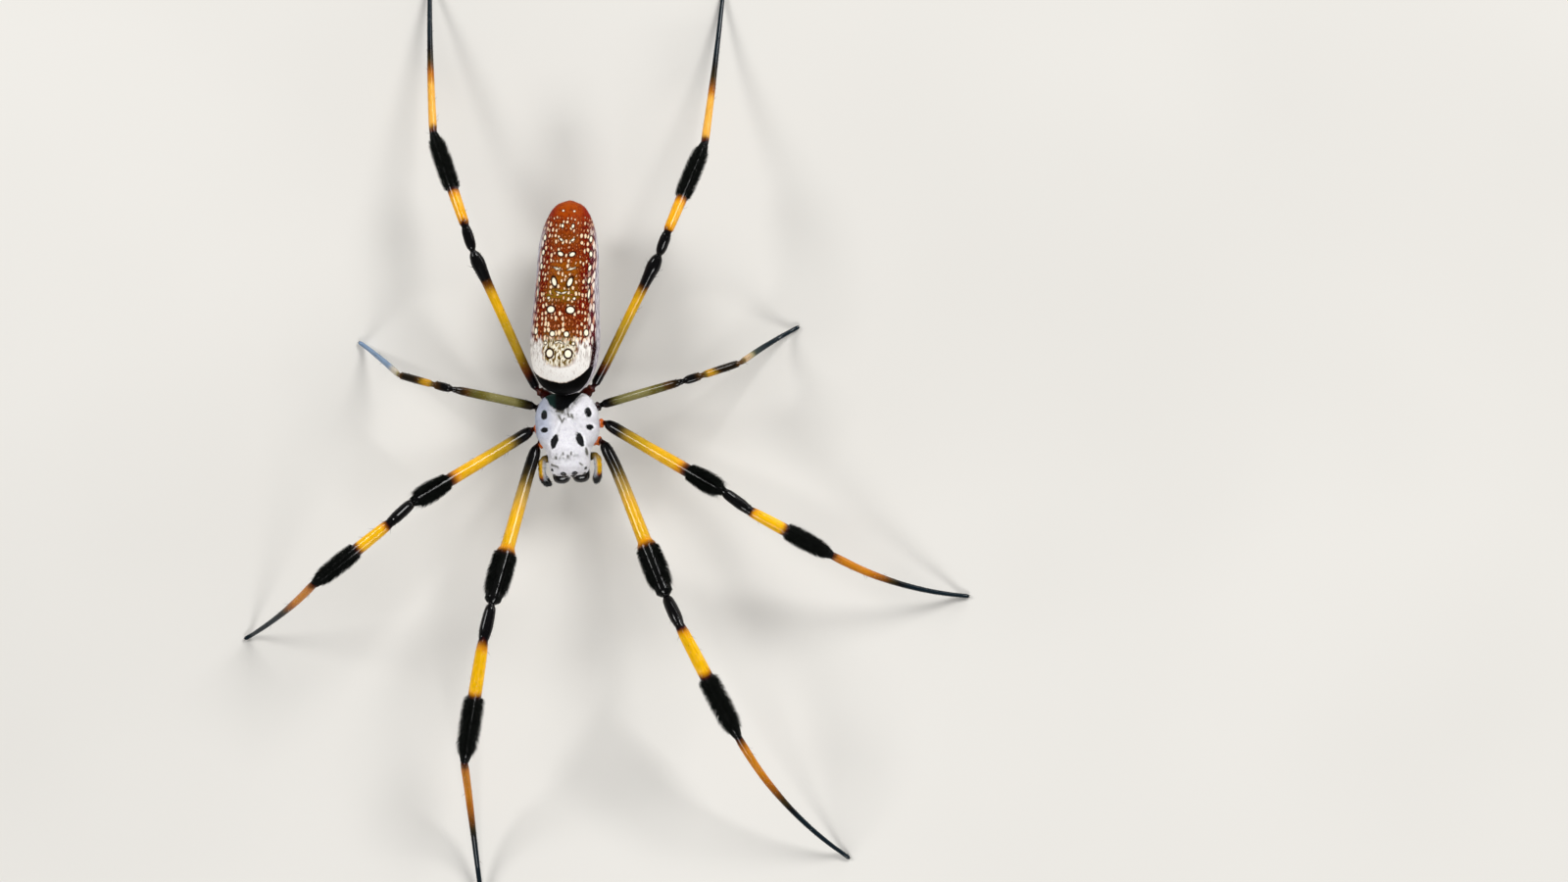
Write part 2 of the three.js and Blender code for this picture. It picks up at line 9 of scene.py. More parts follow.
import bpy
import numpy as np
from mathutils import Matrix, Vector


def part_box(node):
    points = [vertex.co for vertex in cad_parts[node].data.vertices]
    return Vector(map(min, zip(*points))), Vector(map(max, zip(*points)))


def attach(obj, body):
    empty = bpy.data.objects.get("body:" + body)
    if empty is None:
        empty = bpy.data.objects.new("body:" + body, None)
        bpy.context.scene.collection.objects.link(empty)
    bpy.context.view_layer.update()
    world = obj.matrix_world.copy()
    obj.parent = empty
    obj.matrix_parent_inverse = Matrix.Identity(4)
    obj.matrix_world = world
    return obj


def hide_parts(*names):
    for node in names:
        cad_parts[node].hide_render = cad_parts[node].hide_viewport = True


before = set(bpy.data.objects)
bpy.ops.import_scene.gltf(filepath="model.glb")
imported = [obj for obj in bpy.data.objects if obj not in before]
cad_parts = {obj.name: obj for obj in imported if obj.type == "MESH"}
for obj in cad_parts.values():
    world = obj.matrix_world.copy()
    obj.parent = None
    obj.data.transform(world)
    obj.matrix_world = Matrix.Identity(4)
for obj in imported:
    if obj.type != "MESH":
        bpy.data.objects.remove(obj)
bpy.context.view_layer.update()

MM = 0.001
SIDES = ("left", "right")
SIGN = {"left": 1.0, "right": -1.0}
SEGMENTS = ("coxa", "femur", "patella", "tibia", "foot")
UP = np.array([0.0, 0.0, 1.0])
random = np.random.default_rng(20)

# ---- named sizes

HEAD_YAW = math.radians(3.5)
TAIL_YAW = math.radians(-2.0)
TAIL_ROLL = math.radians(-4.5)
ABDOMEN_FRONT = np.array([-0.4, 4.3])      # from the middle of the head shield
ABDOMEN_LENGTH = 22.0
ABDOMEN_HEIGHT = 8.35       # of its middle line, in front; it sinks by 1 towards the tail
PATTERN_TURN = math.radians(-1.5)      # of the markings about that line
PATTERN_TWIST = math.radians(6.5)      # and how far they turn on towards the tail
SHIELD_EDGE_HEIGHT = 6.3
SHIELD_UNDERCUT = 0.28
# y, half width, height of the ridge
SHIELD = np.array([
    (-4.76, 0.00, 7.30), (-4.62, 1.45, 8.05), (-4.30, 2.02, 8.55), (-3.50, 2.36, 8.86),
    (-2.40, 2.44, 8.90), (-1.70, 2.66, 8.74), (-0.70, 3.28, 8.36), (0.40, 3.62, 8.06),
    (2.00, 3.62, 7.88), (3.30, 3.22, 7.50), (4.20, 2.56, 7.02), (4.66, 1.70, 6.70),
    (4.80, 0.00, 6.42),
])

COAT = {"abdomen": 0.05, "shield": 0.07, "leg": 0.03, "plate": 0.04}

# where each brush of long hair starts, as a share of its segment; all end at BRUSH_END
BRUSHES = {
    1: {"femur": 0.680, "tibia": 0.450},
    2: {"femur": 0.706, "tibia": 0.430},
    4: {"tibia": 0.388},
}
BRUSH_END = 0.985
# thickness at hip, knee, ankle and heel, against the thinner of the parts that meet there
JOINT_NECKS = (1.0, 0.84, 0.92, 0.92)

BRUSH_HAIRS = 5600          # in each brush
SHIELD_HAIRS = 46000
ABDOMEN_HAIRS = 5200
LEG_HAIRS = 16              # to each millimetre of a leg
LEG_SPINES = 0.5
PALP_BRISTLES, JAW_BRISTLES, STERNUM_BRISTLES = 520, 160, 220

CAMERA_PLACE = np.array([24.3, -0.75, 320.0])   # from under the middle of the head shield
CAMERA_LENS = 64.02
SENSOR_WIDTH = 36.0

# places on the unwrapped skin: left, bottom, width, height
UNWRAP = {
    "abdomen": (0.000, 0.360, 0.620, 0.640),
    "shield": (0.626, 0.664, 0.374, 0.336),
    "sternum": (0.626, 0.540, 0.160, 0.118),
    "labium": (0.792, 0.540, 0.060, 0.056),
    "pedicel": (0.858, 0.540, 0.060, 0.056),
    "chelicera_left": (0.792, 0.602, 0.100, 0.056),
    "chelicera_right": (0.898, 0.602, 0.100, 0.056),
    "palp_left": (0.626, 0.480, 0.374, 0.052),
    "palp_right": (0.626, 0.422, 0.374, 0.052),
    "spinnerets": (0.626, 0.362, 0.374, 0.054),
}
LEG_STRIP = 0.0445

# ---- colours


def colour(text):
    """A web colour as linear red, green and blue."""
    values = np.array([int(text[i:i + 2], 16) / 255 for i in (0, 2, 4)])
    return np.where(values <= 0.04045, values / 12.92, ((values + 0.055) / 1.055) ** 2.4)


COLOURS = {name: colour(value) for name, value in {
    # blacks and darks, and bluish colours that are painted sheen
    "black": "070607", "soot": "0a0d08", "coffee": "191003", "dusk": "32280f", "blue": "0b1a22",
    "slate": "28342e", "steel": "748ba6", "frost": "bdb3a2",
    # reds and browns
    "wine": "36080a", "rust": "4c1a06", "umber": "4d3008", "cocoa": "6a3c0c", "brown": "80480a",
    "burnt": "9c4208", "bump": "d86a2c", "copper": "b46812",
    # olives and tans
    "olive": "5c5626", "fern": "6a6024", "sage": "867f4c", "bark": "705a26", "bronze": "92700f",
    "khaki": "a0803a", "sandy": "b69444", "brass": "b08c24", "peach": "bea07a", "dull": "968c64",
    # yellows
    "mustard": "c49c22", "straw": "deaa38", "gold": "e8b01c", "foot": "c87c18", "ochre": "be8a20",
    "wheat": "f0b048", "honey": "e09208", "saffron": "eea800", "yellow": "fabd04",
    "orange": "cc6810",
}.items()}

# along each segment of a leg: how far in hundredths of its length, and the colour there
# the black at the start of each coxa, under the shield, is dark skin and painted shade; the bluish
# end of each foot is a painted sheen
LEG_COLOURS = {
    1: {"coxa": "0 black, 52 wine, 66 burnt, 76 bump, 92 bump, 99 wine",
        "femur": "2 black, 14 black, 18.5 dusk, 23.5 bark, 28.5 khaki, 33.5 sandy, 40 straw,"
                 "47 gold, 63 gold, 66 honey, 68 brown, 69.2 wine, 70.2 soot, 100 black",
        "patella": "50 black",
        "tibia": "0 black, 1 wine, 2.3 brown, 5.5 honey, 9 yellow, 38.5 yellow, 41.5 honey,"
                 "43.2 brown, 44.6 wine, 45.8 soot, 100 black",
        "foot": "0 wine, 2.2 cocoa, 4.6 copper, 7.5 foot, 24 foot, 32 copper, 42 cocoa, 47 dusk,"
                "52 black, 60 blue, 100 blue"},
    2: {"coxa": "0 black, 56 wine, 68 burnt, 78 bump, 92 bump, 99 wine",
        "femur": "2 black, 12 black, 15 dusk, 18.5 bark, 24 brass, 34 mustard, 43 gold,"
                 "60 gold, 65 honey, 68 brown, 70.2 wine, 71.6 soot, 100 black",
        "patella": "50 black",
        "tibia": "0 black, 1 wine, 2.3 brown, 5.5 honey, 9.5 yellow, 35.5 yellow, 38 honey,"
                 "40 brown, 41.8 wine, 43.2 soot, 100 black",
        "foot": "0 rust, 1.8 cocoa, 4 copper, 7.5 foot, 24 foot, 31 copper, 40.5 cocoa, 46 dusk,"
                "51 black, 58 blue, 100 blue"},
    3: {"coxa": "0 black, 80 wine, 98 black",
        "femur": "8 black, 12.5 dusk, 18.5 olive, 28 sage, 57 sage, 63.5 fern, 74 olive,"
                 "83 umber, 93 coffee, 97 black",
        "patella": "50 black",
        "tibia": "0 umber, 5 bark, 12 ochre, 22 ochre, 30 bronze, 38 umber, 48 coffee,"
                 "88 coffee, 98 umber",
        "foot": "0 umber, 5 bark, 10 peach, 18 peach, 24 dull, 31 slate, 45 blue, 100 blue"},
    4: {"coxa": "0 black, 50 wine, 90 rust, 98 wine",
        "femur": "0 wine, 3 black, 8 black, 12 rust, 17.5 cocoa, 22.5 bronze, 29 brass,"
                 "41 brass, 48 mustard, 58 gold, 67 gold, 72.5 ochre, 76.5 cocoa, 80 black,"
                 "100 black",
        "patella": "50 black",
        "tibia": "0 black, 0.6 wine, 1.5 brown, 4.5 honey, 9 saffron, 28.5 saffron, 32 honey,"
                 "35.4 copper, 37.2 wine, 38.4 soot, 100 black",
        "foot": "0 wine, 2.5 cocoa, 6 wheat, 30 wheat, 35 copper, 41 cocoa, 46 dusk, 52 black,"
                "60 blue, 100 blue"},
}
# one foot of the third pair is pale, then painted bluish grey as the sheen on its glossy skin
PALE_FEET = {("leg_3_right", "foot"): "0 umber, 4 dull, 8 frost, 15 frost, 30 steel, 100 steel"}
# the black base of the palp, under the edge of the shield, is painted shade; the bluish tip is a
# painted sheen
PALP_COLOURS = ("0 black, 22 black, 30 bark, 36 khaki, 46 gold, 60 yellow, 66 orange, 70 rust,"
                "74 black, 100 blue")


def stops(text):
    """The places of a row of colours as shares, and the colours."""
    pairs = [part.split() for part in text.split(",")]
    return [float(place) / 100 for place, _ in pairs], [COLOURS[name] for _, name in pairs]


def read_rows(at, places, rows):
    """Rows of three numbers that stand at `places`, read at `at`."""
    rows = np.array(rows)
    return np.stack([np.interp(at, places, rows[:, k]) for k in range(3)], -1)


# ---- small maths


def unit(vectors):
    return vectors / np.maximum(np.linalg.norm(vectors, axis=-1, keepdims=True), 1e-9)


def hump(values):
    """1 where the values are 0, falling to nothing at about 2 on both sides."""
    return np.exp(-values ** 2)


def ramp(low, high, values):
    """A smooth step from 0 at `low` to 1 at `high`."""
    t = np.clip((values - low) / (high - low), 0.0, 1.0)
    return t * t * (3.0 - 2.0 * t)


def steady(x, y, at):
    """Reads y over x with a smooth curve that makes no bumps between its points."""
    x, y = np.asarray(x, float), np.asarray(y, float)
    chord = np.diff(y) / np.diff(x)
    both = chord[:-1] * chord[1:]
    inner = np.where(both > 0, 2 * both / np.where(both > 0, chord[:-1] + chord[1:], 1.0), 0.0)
    slope = np.concatenate([[1.6 * chord[0]], inner, [1.6 * chord[-1]]])
    at = np.clip(at, x[0], x[-1])
    row = np.clip(np.searchsorted(x, at, side="right") - 1, 0, len(x) - 2)
    span = x[row + 1] - x[row]
    t = (at - x[row]) / span
    return ((2 * t**3 - 3 * t**2 + 1) * y[row] + (t**3 - 2 * t**2 + t) * span * slope[row]
            + (3 * t**2 - 2 * t**3) * y[row + 1] + (t**3 - t**2) * span * slope[row + 1])


def through(points, at):
    """A smooth curve through rows of points, read at row numbers `at`; row 0 is a lead-in."""
    row = np.clip(np.floor(at).astype(int), 1, len(points) - 3)
    t = (at - row).reshape((-1,) + (1,) * (points.ndim - 1))
    a, b, c, d = (points[row + k] for k in (-1, 0, 1, 2))
    return 0.5 * (2 * b + (c - a) * t + (2 * a - 5 * b + 4 * c - d) * t**2
                  + (3 * b - a - 3 * c + d) * t**3)


def led(points):
    """The points with one more before them and one more after them, straight on."""
    return np.concatenate([2 * points[:1] - points[1:2], points, 2 * points[-1:] - points[-2:-1]])


def travelled(line):
    """How far along a line each of its points is."""
    return np.append(0.0, np.cumsum(np.linalg.norm(np.diff(line, axis=0), axis=1)))


LATTICE = random.uniform(-1.0, 1.0, 4096)


def grain(points, size, seed=0):
    """Smooth noise from -1 to 1 with lumps of about `size`."""
    scaled = points / size + 1000.0
    cell = np.floor(scaled).astype(np.int64)
    part = scaled - cell
    part = part * part * (3 - 2 * part)
    total = 0.0
    for corner in range(8):
        step = np.array([corner & 1, corner >> 1 & 1, corner >> 2 & 1])
        key = ((cell + step) * np.array([374761, 668265, 2246822])).sum(-1) + seed * 3266489
        weight = np.prod(np.where(step, part, 1 - part), axis=-1)
        total = total + weight * LATTICE[(key ^ (key >> 7)) & 4095]
    return total


def turned(points, angle):
    """The points turned about the vertical."""
    c, s = math.cos(angle), math.sin(angle)
    x, y, z = points[..., 0], points[..., 1], points[..., 2]
    return np.stack([c * x - s * y, s * x + c * y, z], axis=-1)


# ---- reading the frame


def node_rings(name, sides, axis=None, near=None):
    """A lofted node as its first point, its rings in order, and its last point."""
    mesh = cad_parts[name].data
    flat = np.empty(3 * len(mesh.vertices))
    mesh.vertices.foreach_get("co", flat)
    points, which = np.unique(np.round(flat.reshape(-1, 3) / MM, 4), axis=0, return_inverse=True)
    pairs = np.empty(2 * len(mesh.edges), dtype=np.int32)
    mesh.edges.foreach_get("vertices", pairs)
    edges = np.unique(np.sort(which.ravel()[pairs].reshape(-1, 2), axis=1), axis=0)
    edges = edges[edges[:, 0] != edges[:, 1]]
    if axis is None:
        axis = np.linalg.svd(points - points.mean(0), full_matrices=False)[2][0]
    ends = np.flatnonzero(np.bincount(edges.ravel()) == sides)
    ends = ends[np.argsort(points[ends] @ axis)][[0, -1]]
    if near is not None:
        ends = ends[np.argsort(np.linalg.norm(points[ends] - near, axis=1))]
    # how many edges each point is from the first end says which ring it is in
    layer = np.full(len(points), -1)
    layer[ends[0]] = 0
    for step in range(len(points)):
        fresh = edges[:, ::-1][layer[edges] == step]
        fresh = fresh[layer[fresh] < 0]
        layer[fresh] = step + 1
    order = np.argsort(layer, kind="stable")
    return points[order[0]], points[order[1:-1]].reshape(-1, sides, 3), points[order[-1]]


head_axis = turned(np.array([0.0, 1.0, 0.0]), HEAD_YAW)
tail_axis = turned(np.array([0.0, 1.0, 0.0]), TAIL_YAW)
abdomen_rings = node_rings("abdomen", 22, tail_axis)
origin = np.append(abdomen_rings[0][:2] - ABDOMEN_FRONT, 0.0)


def head_place(points):
    """Points laid out around the middle of the shield, put where the shield is."""
    return turned(np.asarray(points, float), HEAD_YAW) + origin


def head_local(points):
    return turned(points - origin, -HEAD_YAW)


# ---- skin patches


class Patch:
    """A closed part of the skin: rings of points between two end points."""

    def __init__(self, rings, first, last, shares, place, slot):
        self.rings, self.first, self.last = rings, np.array(first, float), np.array(last, float)
        self.shares, self.place, self.slot = shares, place, slot
        self.values = {}
        self.find_normals()

    def find_normals(self):
        count = self.rings.shape[1]
        ends = [np.repeat(p[None, None], count, 1) for p in (self.first, self.last)]
        long = np.gradient(np.concatenate([ends[0], self.rings, ends[1]]), axis=0)[1:-1]
        wide = np.roll(self.rings, -1, 1) - np.roll(self.rings, 1, 1)
        normals = unit(np.cross(wide, long))
        outward = self.rings - self.rings.mean(1, keepdims=True)
        self.normals = normals * np.sign((normals * outward).sum())
        self.long = unit(long)

    def raise_by(self, height):
        """Moves the skin out along its normals by a height for each point."""
        self.rings = self.rings + self.normals * np.asarray(height)[..., None]
        self.find_normals()

    def uv(self, rows, columns):
        """Places on the unwrapped skin for row and column numbers, which may be fractions."""
        left, bottom, width, height = self.place
        shares = np.concatenate([[0.0], self.shares, [1.0]])
        along = np.interp(rows, np.arange(len(shares)) - 1.0, shares)
        return np.stack([left + width * along,
                         bottom + height * columns / self.rings.shape[1]], axis=-1)

    def scatter(self, count, weight=None):
        """Random places on the patch, evenly by area times weight."""
        n, m = self.rings.shape[:2]
        area = (np.linalg.norm(np.gradient(self.rings, axis=0), axis=-1)
                * np.linalg.norm(np.roll(self.rings, -1, 1) - self.rings, axis=-1))
        if weight is not None:
            area = area * weight
        area[-1] = 0
        chosen = random.choice(n * m, count, p=(area / area.sum()).ravel())
        row, column = np.divmod(chosen, m)
        shift = random.random((2, count))
        right = (column + 1) % m

        def read(grid):
            down, over = shift.reshape((2, -1) + (1,) * (grid.ndim - 2))
            low = grid[row, column] * (1 - over) + grid[row, right] * over
            high = grid[row + 1, column] * (1 - over) + grid[row + 1, right] * over
            return low * (1 - down) + high * down

        found = {name: read(values) for name, values in self.values.items()}
        found["root"] = read(self.rings)
        found["normal"] = unit(read(self.normals))
        found["long"] = unit(read(self.long))
        found["uv"] = self.uv(row + shift[0], column + shift[1])
        return found


def loft(cad, along, around, depth, place, slot):
    """A smooth skin through a CAD node's rings, moved in by the depth of the coat."""
    first, rings, last = cad
    sides = rings.shape[1]
    half = sides // 2
    net = np.concatenate([
        np.roll(rings[:1], half, axis=1), np.tile(first, (1, sides, 1)), rings,
        np.tile(last, (1, sides, 1)), np.roll(rings[-1:], half, axis=1),
    ])
    shares = np.linspace(0.0, 1.0, along + 2)[1:-1]
    net = through(net, 1 + shares * (len(rings) + 1))
    net = np.swapaxes(net, 0, 1)
    net = np.concatenate([net[-1:], net, net[:2]])
    net = np.swapaxes(through(net, 1 + np.arange(around) * sides / around), 0, 1)
    inward = depth * unit(last - first)
    patch = Patch(net, first, last, shares, place, slot)
    patch.raise_by(np.full(net.shape[:2], -depth))
    patch.first, patch.last = first + inward, last - inward
    return patch


def in_order(cad, along_axis, up=UP):
    """The rings with each one's points in order of angle, from the top."""
    first, rings, last = cad
    across = unit(np.cross(along_axis, up))
    upward = np.cross(across, along_axis)
    offset = rings - rings.mean(1, keepdims=True)
    sides = rings.shape[1]
    angle = np.arctan2(offset @ across, offset @ upward)
    angle = (angle + math.pi / sides) % (2 * math.pi)
    order = np.argsort(angle, axis=1)
    return first, np.take_along_axis(rings, order[..., None], axis=1), last


# ---- abdomen


def abdomen_plan(patch):
    """Distance from the front, angle from the middle of the back, and distance around."""
    local = turned(patch.rings - abdomen_rings[0], -TAIL_YAW)
    along = local[..., 1]
    x, z = local[..., 0], patch.rings[..., 2] - (ABDOMEN_HEIGHT - along / ABDOMEN_LENGTH)
    angle = np.arctan2(x, z) - TAIL_ROLL
    angle = (angle + math.pi) % (2 * math.pi) - math.pi
    angle -= PATTERN_TURN + PATTERN_TWIST * ramp(12.6, 15.7, along)
    return along, angle, angle * np.hypot(x, z).mean(1, keepdims=True)


# along, half spacing, half length, half width, lean, width of the dark rim
SPOT_PAIRS = [
    (4.61, 1.06, 0.41, 0.37, 0.0, 0.17),
    (6.78, 0.81, 0.27, 0.26, 0.0, 0.10),
    (9.48, 1.13, 0.34, 0.42, 0.0, 0.14),
    (12.58, 0.91, 0.46, 0.23, -0.35, 0.13),
    (14.05, 0.83, 0.085, 0.42, 0.30, 0.03),
    (15.68, 0.66, 0.20, 0.31, 0.45, 0.11),
    (17.30, 0.66, 0.11, 0.21, 0.60, 0.05),
    (18.86, 0.59, 0.21, 0.13, -0.10, 0.07),
    (10.76, 1.50, 0.15, 0.15, 0.0, 0.06),
    (11.38, 0.32, 0.085, 0.32, 0.35, 0.02),
    (5.85, 0.26, 0.085, 0.28, -0.40, 0.03),
    (5.75, 1.62, 0.16, 0.15, 0.0, 0.07),
    (20.62, 0.64, 0.10, 0.13, 0.0, 0.01),
    (17.54, 2.95, 0.32, 0.22, -0.2, 0.09),
    (15.86, 3.02, 0.28, 0.22, 0.2, 0.09),
    (14.30, 3.08, 0.32, 0.20, -0.2, 0.08),
    (12.90, 3.25, 0.36, 0.18, -0.3, 0.08),
    (11.40, 3.30, 0.52, 0.15, -0.1, 0.07),
    (7.05, 3.15, 0.34, 0.28, 0.0, 0.09),
]


# fields of other colour down the middle of the back: along, half length, share, colour
ABDOMEN_FIELDS = [
    (5.9, 1.2, 1.0, "665409"),
    (8.2, 1.0, 0.9, "743408"),
    (9.6, 0.8, 0.8, "681a04"),
    (11.3, 1.0, 1.0, "80640a"),
    (12.7, 0.9, 1.0, "925606"),
    (14.2, 1.1, 1.0, "995406"),
    (16.0, 1.0, 0.8, "802a02"),
    (17.4, 0.9, 0.9, "844004"),
    (18.9, 1.0, 0.8, "8a3804"),
]


def outside_oval(x, y, half_width, half_length, lean):
    """How far outside a leaning oval around 0 each point is."""
    c, s = math.cos(lean), math.sin(lean)
    reach = np.hypot((c * x + s * y) / half_width, (c * y - s * x) / half_length)
    return (reach - 1) * min(half_width, half_length)


def paired_spots(along, around):
    """How far outside the nearest spot of the back each point is, and outside its rim."""
    inside, rim = np.full((2, *along.shape), 9.0)
    for place, apart, half_length, half_width, lean, edge in SPOT_PAIRS:
        for side in (-1.0, 1.0):
            distance = outside_oval((around - side * apart) * side, along - place,
                                    half_width, half_length, lean)
            inside = np.minimum(inside, distance)
            rim = np.minimum(rim, distance - edge)
    return inside, rim


def blend(base, share, over):
    """The web colour `over` laid on `base` where share is 1."""
    share = np.clip(share, 0, 1)[..., None]
    return base * (1 - share) + share * colour(over)


def front_and_band(points, along, around, degrees):
    """How far outside the black front, the white band and the field inside the band points are."""
    left = degrees > 0
    front_edge = np.where(
        left, steady([0, 16, 45, 56, 66, 180], [1.40, 1.44, 2.25, 2.80, 3.30, 3.40], degrees),
        steady([0, 28, 60, 81, 100, 180], [1.40, 1.64, 2.25, 2.80, 3.00, 3.05], -degrees))
    hem = np.minimum(np.where(left, degrees - 77, -degrees - 88), 106 - np.abs(degrees)) * 0.07
    black = np.maximum(along - front_edge + 0.05 * grain(points, 0.5, 1), hem)
    inner = np.hypot(around / 1.95, np.maximum(4.6 - along, 0) / 1.50) - 1
    inner = 1.5 * inner + 0.10 * grain(points, 0.30, 2)
    side_limit = np.where(left, degrees - 62, -degrees - 80) * 0.065
    corner = np.where(left, np.hypot(np.maximum(around - 2.6, 0) / 1.5,
                                     np.maximum(along - 4.6, 0) / 1.8) - 1, -1.0)
    band = np.maximum.reduce([-black, -0.7 * inner, side_limit, 0.32 * (along - 6.2), corner])
    return black, band, inner


def back_colours(points, along, around, centre):
    """The ground colour of the back, from front to tail."""
    tip = ramp(19.0, 20.4, along + 0.5 * grain(points, 0.9, 5))
    ground = blend(colour("6c0b02"), ramp(11.0, 6.0, along), "762a08")
    for place, half, share, tone in ABDOMEN_FIELDS:
        ground = blend(ground, share * centre * hump((along - place) / half), tone)
    ground = blend(ground, tip, "8c1c04")
    return blend(ground, tip * ramp(2.6, 0.6, np.abs(around)), "a04206")


def mark_abdomen(patch):
    along, angle, around = abdomen_plan(patch)
    points = patch.rings
    degrees = np.degrees(angle)
    steep = np.abs(degrees)
    black, band, inner = front_and_band(points, along, around, degrees)
    spot, rim = paired_spots(along, around)
    wave = 6 * grain(points, 0.8, 4)
    flank = ramp(47, 58, steep + wave) * ramp(19.8, 17.0, along)
    outer = np.where(angle > 0, ramp(69, 75, degrees + 0.4 * wave), ramp(56, 72, -degrees + wave))
    strip = ramp(60, 64, degrees) * ramp(78, 73, degrees) * ramp(7.2, 5.6, along)
    rise = 75 * ramp(18.0, 21.0, along)
    centre = ramp(2.3, 1.2, np.abs(around) + 0.4 * grain(points, 0.8, 6))
    # the underside: furrow, covers of the book lungs, and the plate between them
    furrow = hump((along - 5.6) / 0.16) * ramp(115, 135, steep)
    lung = ramp(1.0, 0.75, np.hypot((along - 4.1) / 1.5, (np.abs(angle) - 2.55) / 0.34))
    plate = ramp(1.0, 0.7, np.hypot((along - 5.1) / 0.55, (steep - 180) / 11.0))
    patch.values = {
        "tint": back_colours(points, along, around, centre),
        "plan": np.stack([around, along, np.zeros_like(along)], -1),
        "solid": turned(points - abdomen_rings[0], -TAIL_YAW),
        "spot": spot, "rim": rim, "band": band, "front": black, "flank": flank, "strip": strip,
        "outer": outer * ramp(21.0, 18.5, along),
        "belly": ramp(112 + rise, 132 + rise, steep + 0.8 * wave),
        "lung": np.clip(lung + plate, 0, 1),
        "fade": ramp(3.2, 5.8, along),
        "net": ramp(0.2, -0.2, inner) * ramp(6.8, 5.3, along),
        "dots": (0.34 + 0.07 * grain(points, 1.2, 7) + 0.09 * ramp(9.0, 7.0, along))
                * ramp(20.6, 19.2, along) * (1 - 0.18 * centre * ramp(9.5, 11.0, along)),
    }
    relief = 0.035 * grain(points, 2.4, 8) + 0.012 * grain(points, 0.7, 9)
    relief -= 0.05 * hump((spot + 0.1) / 0.2) * (np.abs(around) < 1.6)
    patch.raise_by(relief + (-0.12 * furrow + 0.10 * lung + 0.22 * plate))


# ---- head shield

# sideways place, y, half width, half length, lean, all for the left side
BARE_SPOTS = [
    (2.46, 2.32, 0.38, 0.56, 0.15),
    (2.54, 0.64, 0.43, 0.32, -0.10),
    (1.45, -0.68, 0.41, 0.88, 0.36),
]


def shield_surface(share, angle):
    y = SHIELD[0, 0] + (SHIELD[-1, 0] - SHIELD[0, 0]) * share
    half = steady(SHIELD[:, 0], SHIELD[:, 1], y)
    ridge = steady(SHIELD[:, 0], SHIELD[:, 2], y)
    square = 1 - 0.22 * (1 - ramp(-2.6, 0.2, y))
    across, up = np.sin(angle), np.cos(angle)
    x = np.sign(across) * np.abs(across) ** square * half
    rise = np.where(up > 0, np.abs(up) ** square * (ridge - SHIELD_EDGE_HEIGHT),
                    up * SHIELD_UNDERCUT)
    return np.stack([x, y + 0 * x, SHIELD_EDGE_HEIGHT + rise], -1)


def build_shield():
    shares = (1 - np.cos(np.pi * np.linspace(0, 1, 122))) / 2
    angles = np.linspace(0, 2 * np.pi, 128, endpoint=False)
    # more columns over the back than under the edge
    angles = angles - 0.32 * np.sin(2 * angles)
    share, angle = np.meshgrid(shares[1:-1], angles, indexing="ij")
    rings = head_place(shield_surface(share, angle))
    first = head_place([0, SHIELD[0, 0] + COAT["shield"], SHIELD[0, 2]])
    last = head_place([0, SHIELD[-1, 0] - COAT["shield"], SHIELD[-1, 2]])
    patch = Patch(rings, first, last, shares[1:-1], UNWRAP["shield"], "shield")
    patch.raise_by(np.full(rings.shape[:2], -COAT["shield"]))
    return patch


def eye_places():
    """Centre and radius of every eye of the frame."""
    boxes = [np.array(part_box(name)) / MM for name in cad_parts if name.startswith("eye_")]
    return [((low + high) / 2, float((high - low).max() / 2)) for low, high in boxes]


# thin dark marks among the down of the shield: both ends, half width
SHIELD_MARKS = [
    (-0.83, 2.20, -0.47, 1.38, 0.07), (-0.47, 1.38, -0.22, 1.80, 0.06),
    (0.25, 2.32, 0.30, 2.02, 0.09), (0.60, 2.22, 0.70, 1.85, 0.09),
    (-0.95, 2.70, -0.35, 2.62, 0.20), (-1.34, -2.45, -1.30, -2.68, 0.10),
    (-0.50, -2.05, -0.44, -2.28, 0.06), (0.03, -2.45, 0.08, -2.68, 0.05),
    (0.44, -2.02, 0.37, -2.25, 0.07), (2.08, -1.75, 2.12, -2.35, 0.13),
    (-1.90, -3.30, -1.15, -3.62, 0.10), (1.30, -3.30, 1.55, -3.50, 0.08),
]
EYE_RINGS = {"side": 0.03, "middle": 0.16}   # width of the bare ring around an eye


def away_from(x, y, ends):
    """Distance from the line between two places."""
    x0, y0, x1, y1 = ends
    t = np.clip(((x - x0) * (x1 - x0) + (y - y0) * (y1 - y0))
                / ((x1 - x0) ** 2 + (y1 - y0) ** 2), 0, 1)
    return np.hypot(x - x0 - t * (x1 - x0), y - y0 - t * (y1 - y0))


def bare_skin_and_shadow(local):
    """How far outside all bare places points are, and outside the triangle before the waist, which is
    bare black skin and painted shadow of the abdomen.
    """
    x, y = local[..., 0], local[..., 1]
    bare = np.full(x.shape, 9.0)
    for at_x, at_y, half_width, half_length, lean in BARE_SPOTS:
        for side in (-1.0, 1.0):
            bare = np.minimum(bare, outside_oval(x * side - at_x, y - at_y,
                                                 half_width, half_length, lean))
    edge = steady([-2.6, -1.95, -1.25, -0.9, -0.1, 0.7, 1.6, 2.6],
                  [5.0, 3.75, 2.95, 2.80, 2.70, 3.42, 4.35, 5.2], x)
    rear = edge - y + 0.12 * grain(local, 0.4, 15)
    return np.minimum(bare, rear * 0.7), rear


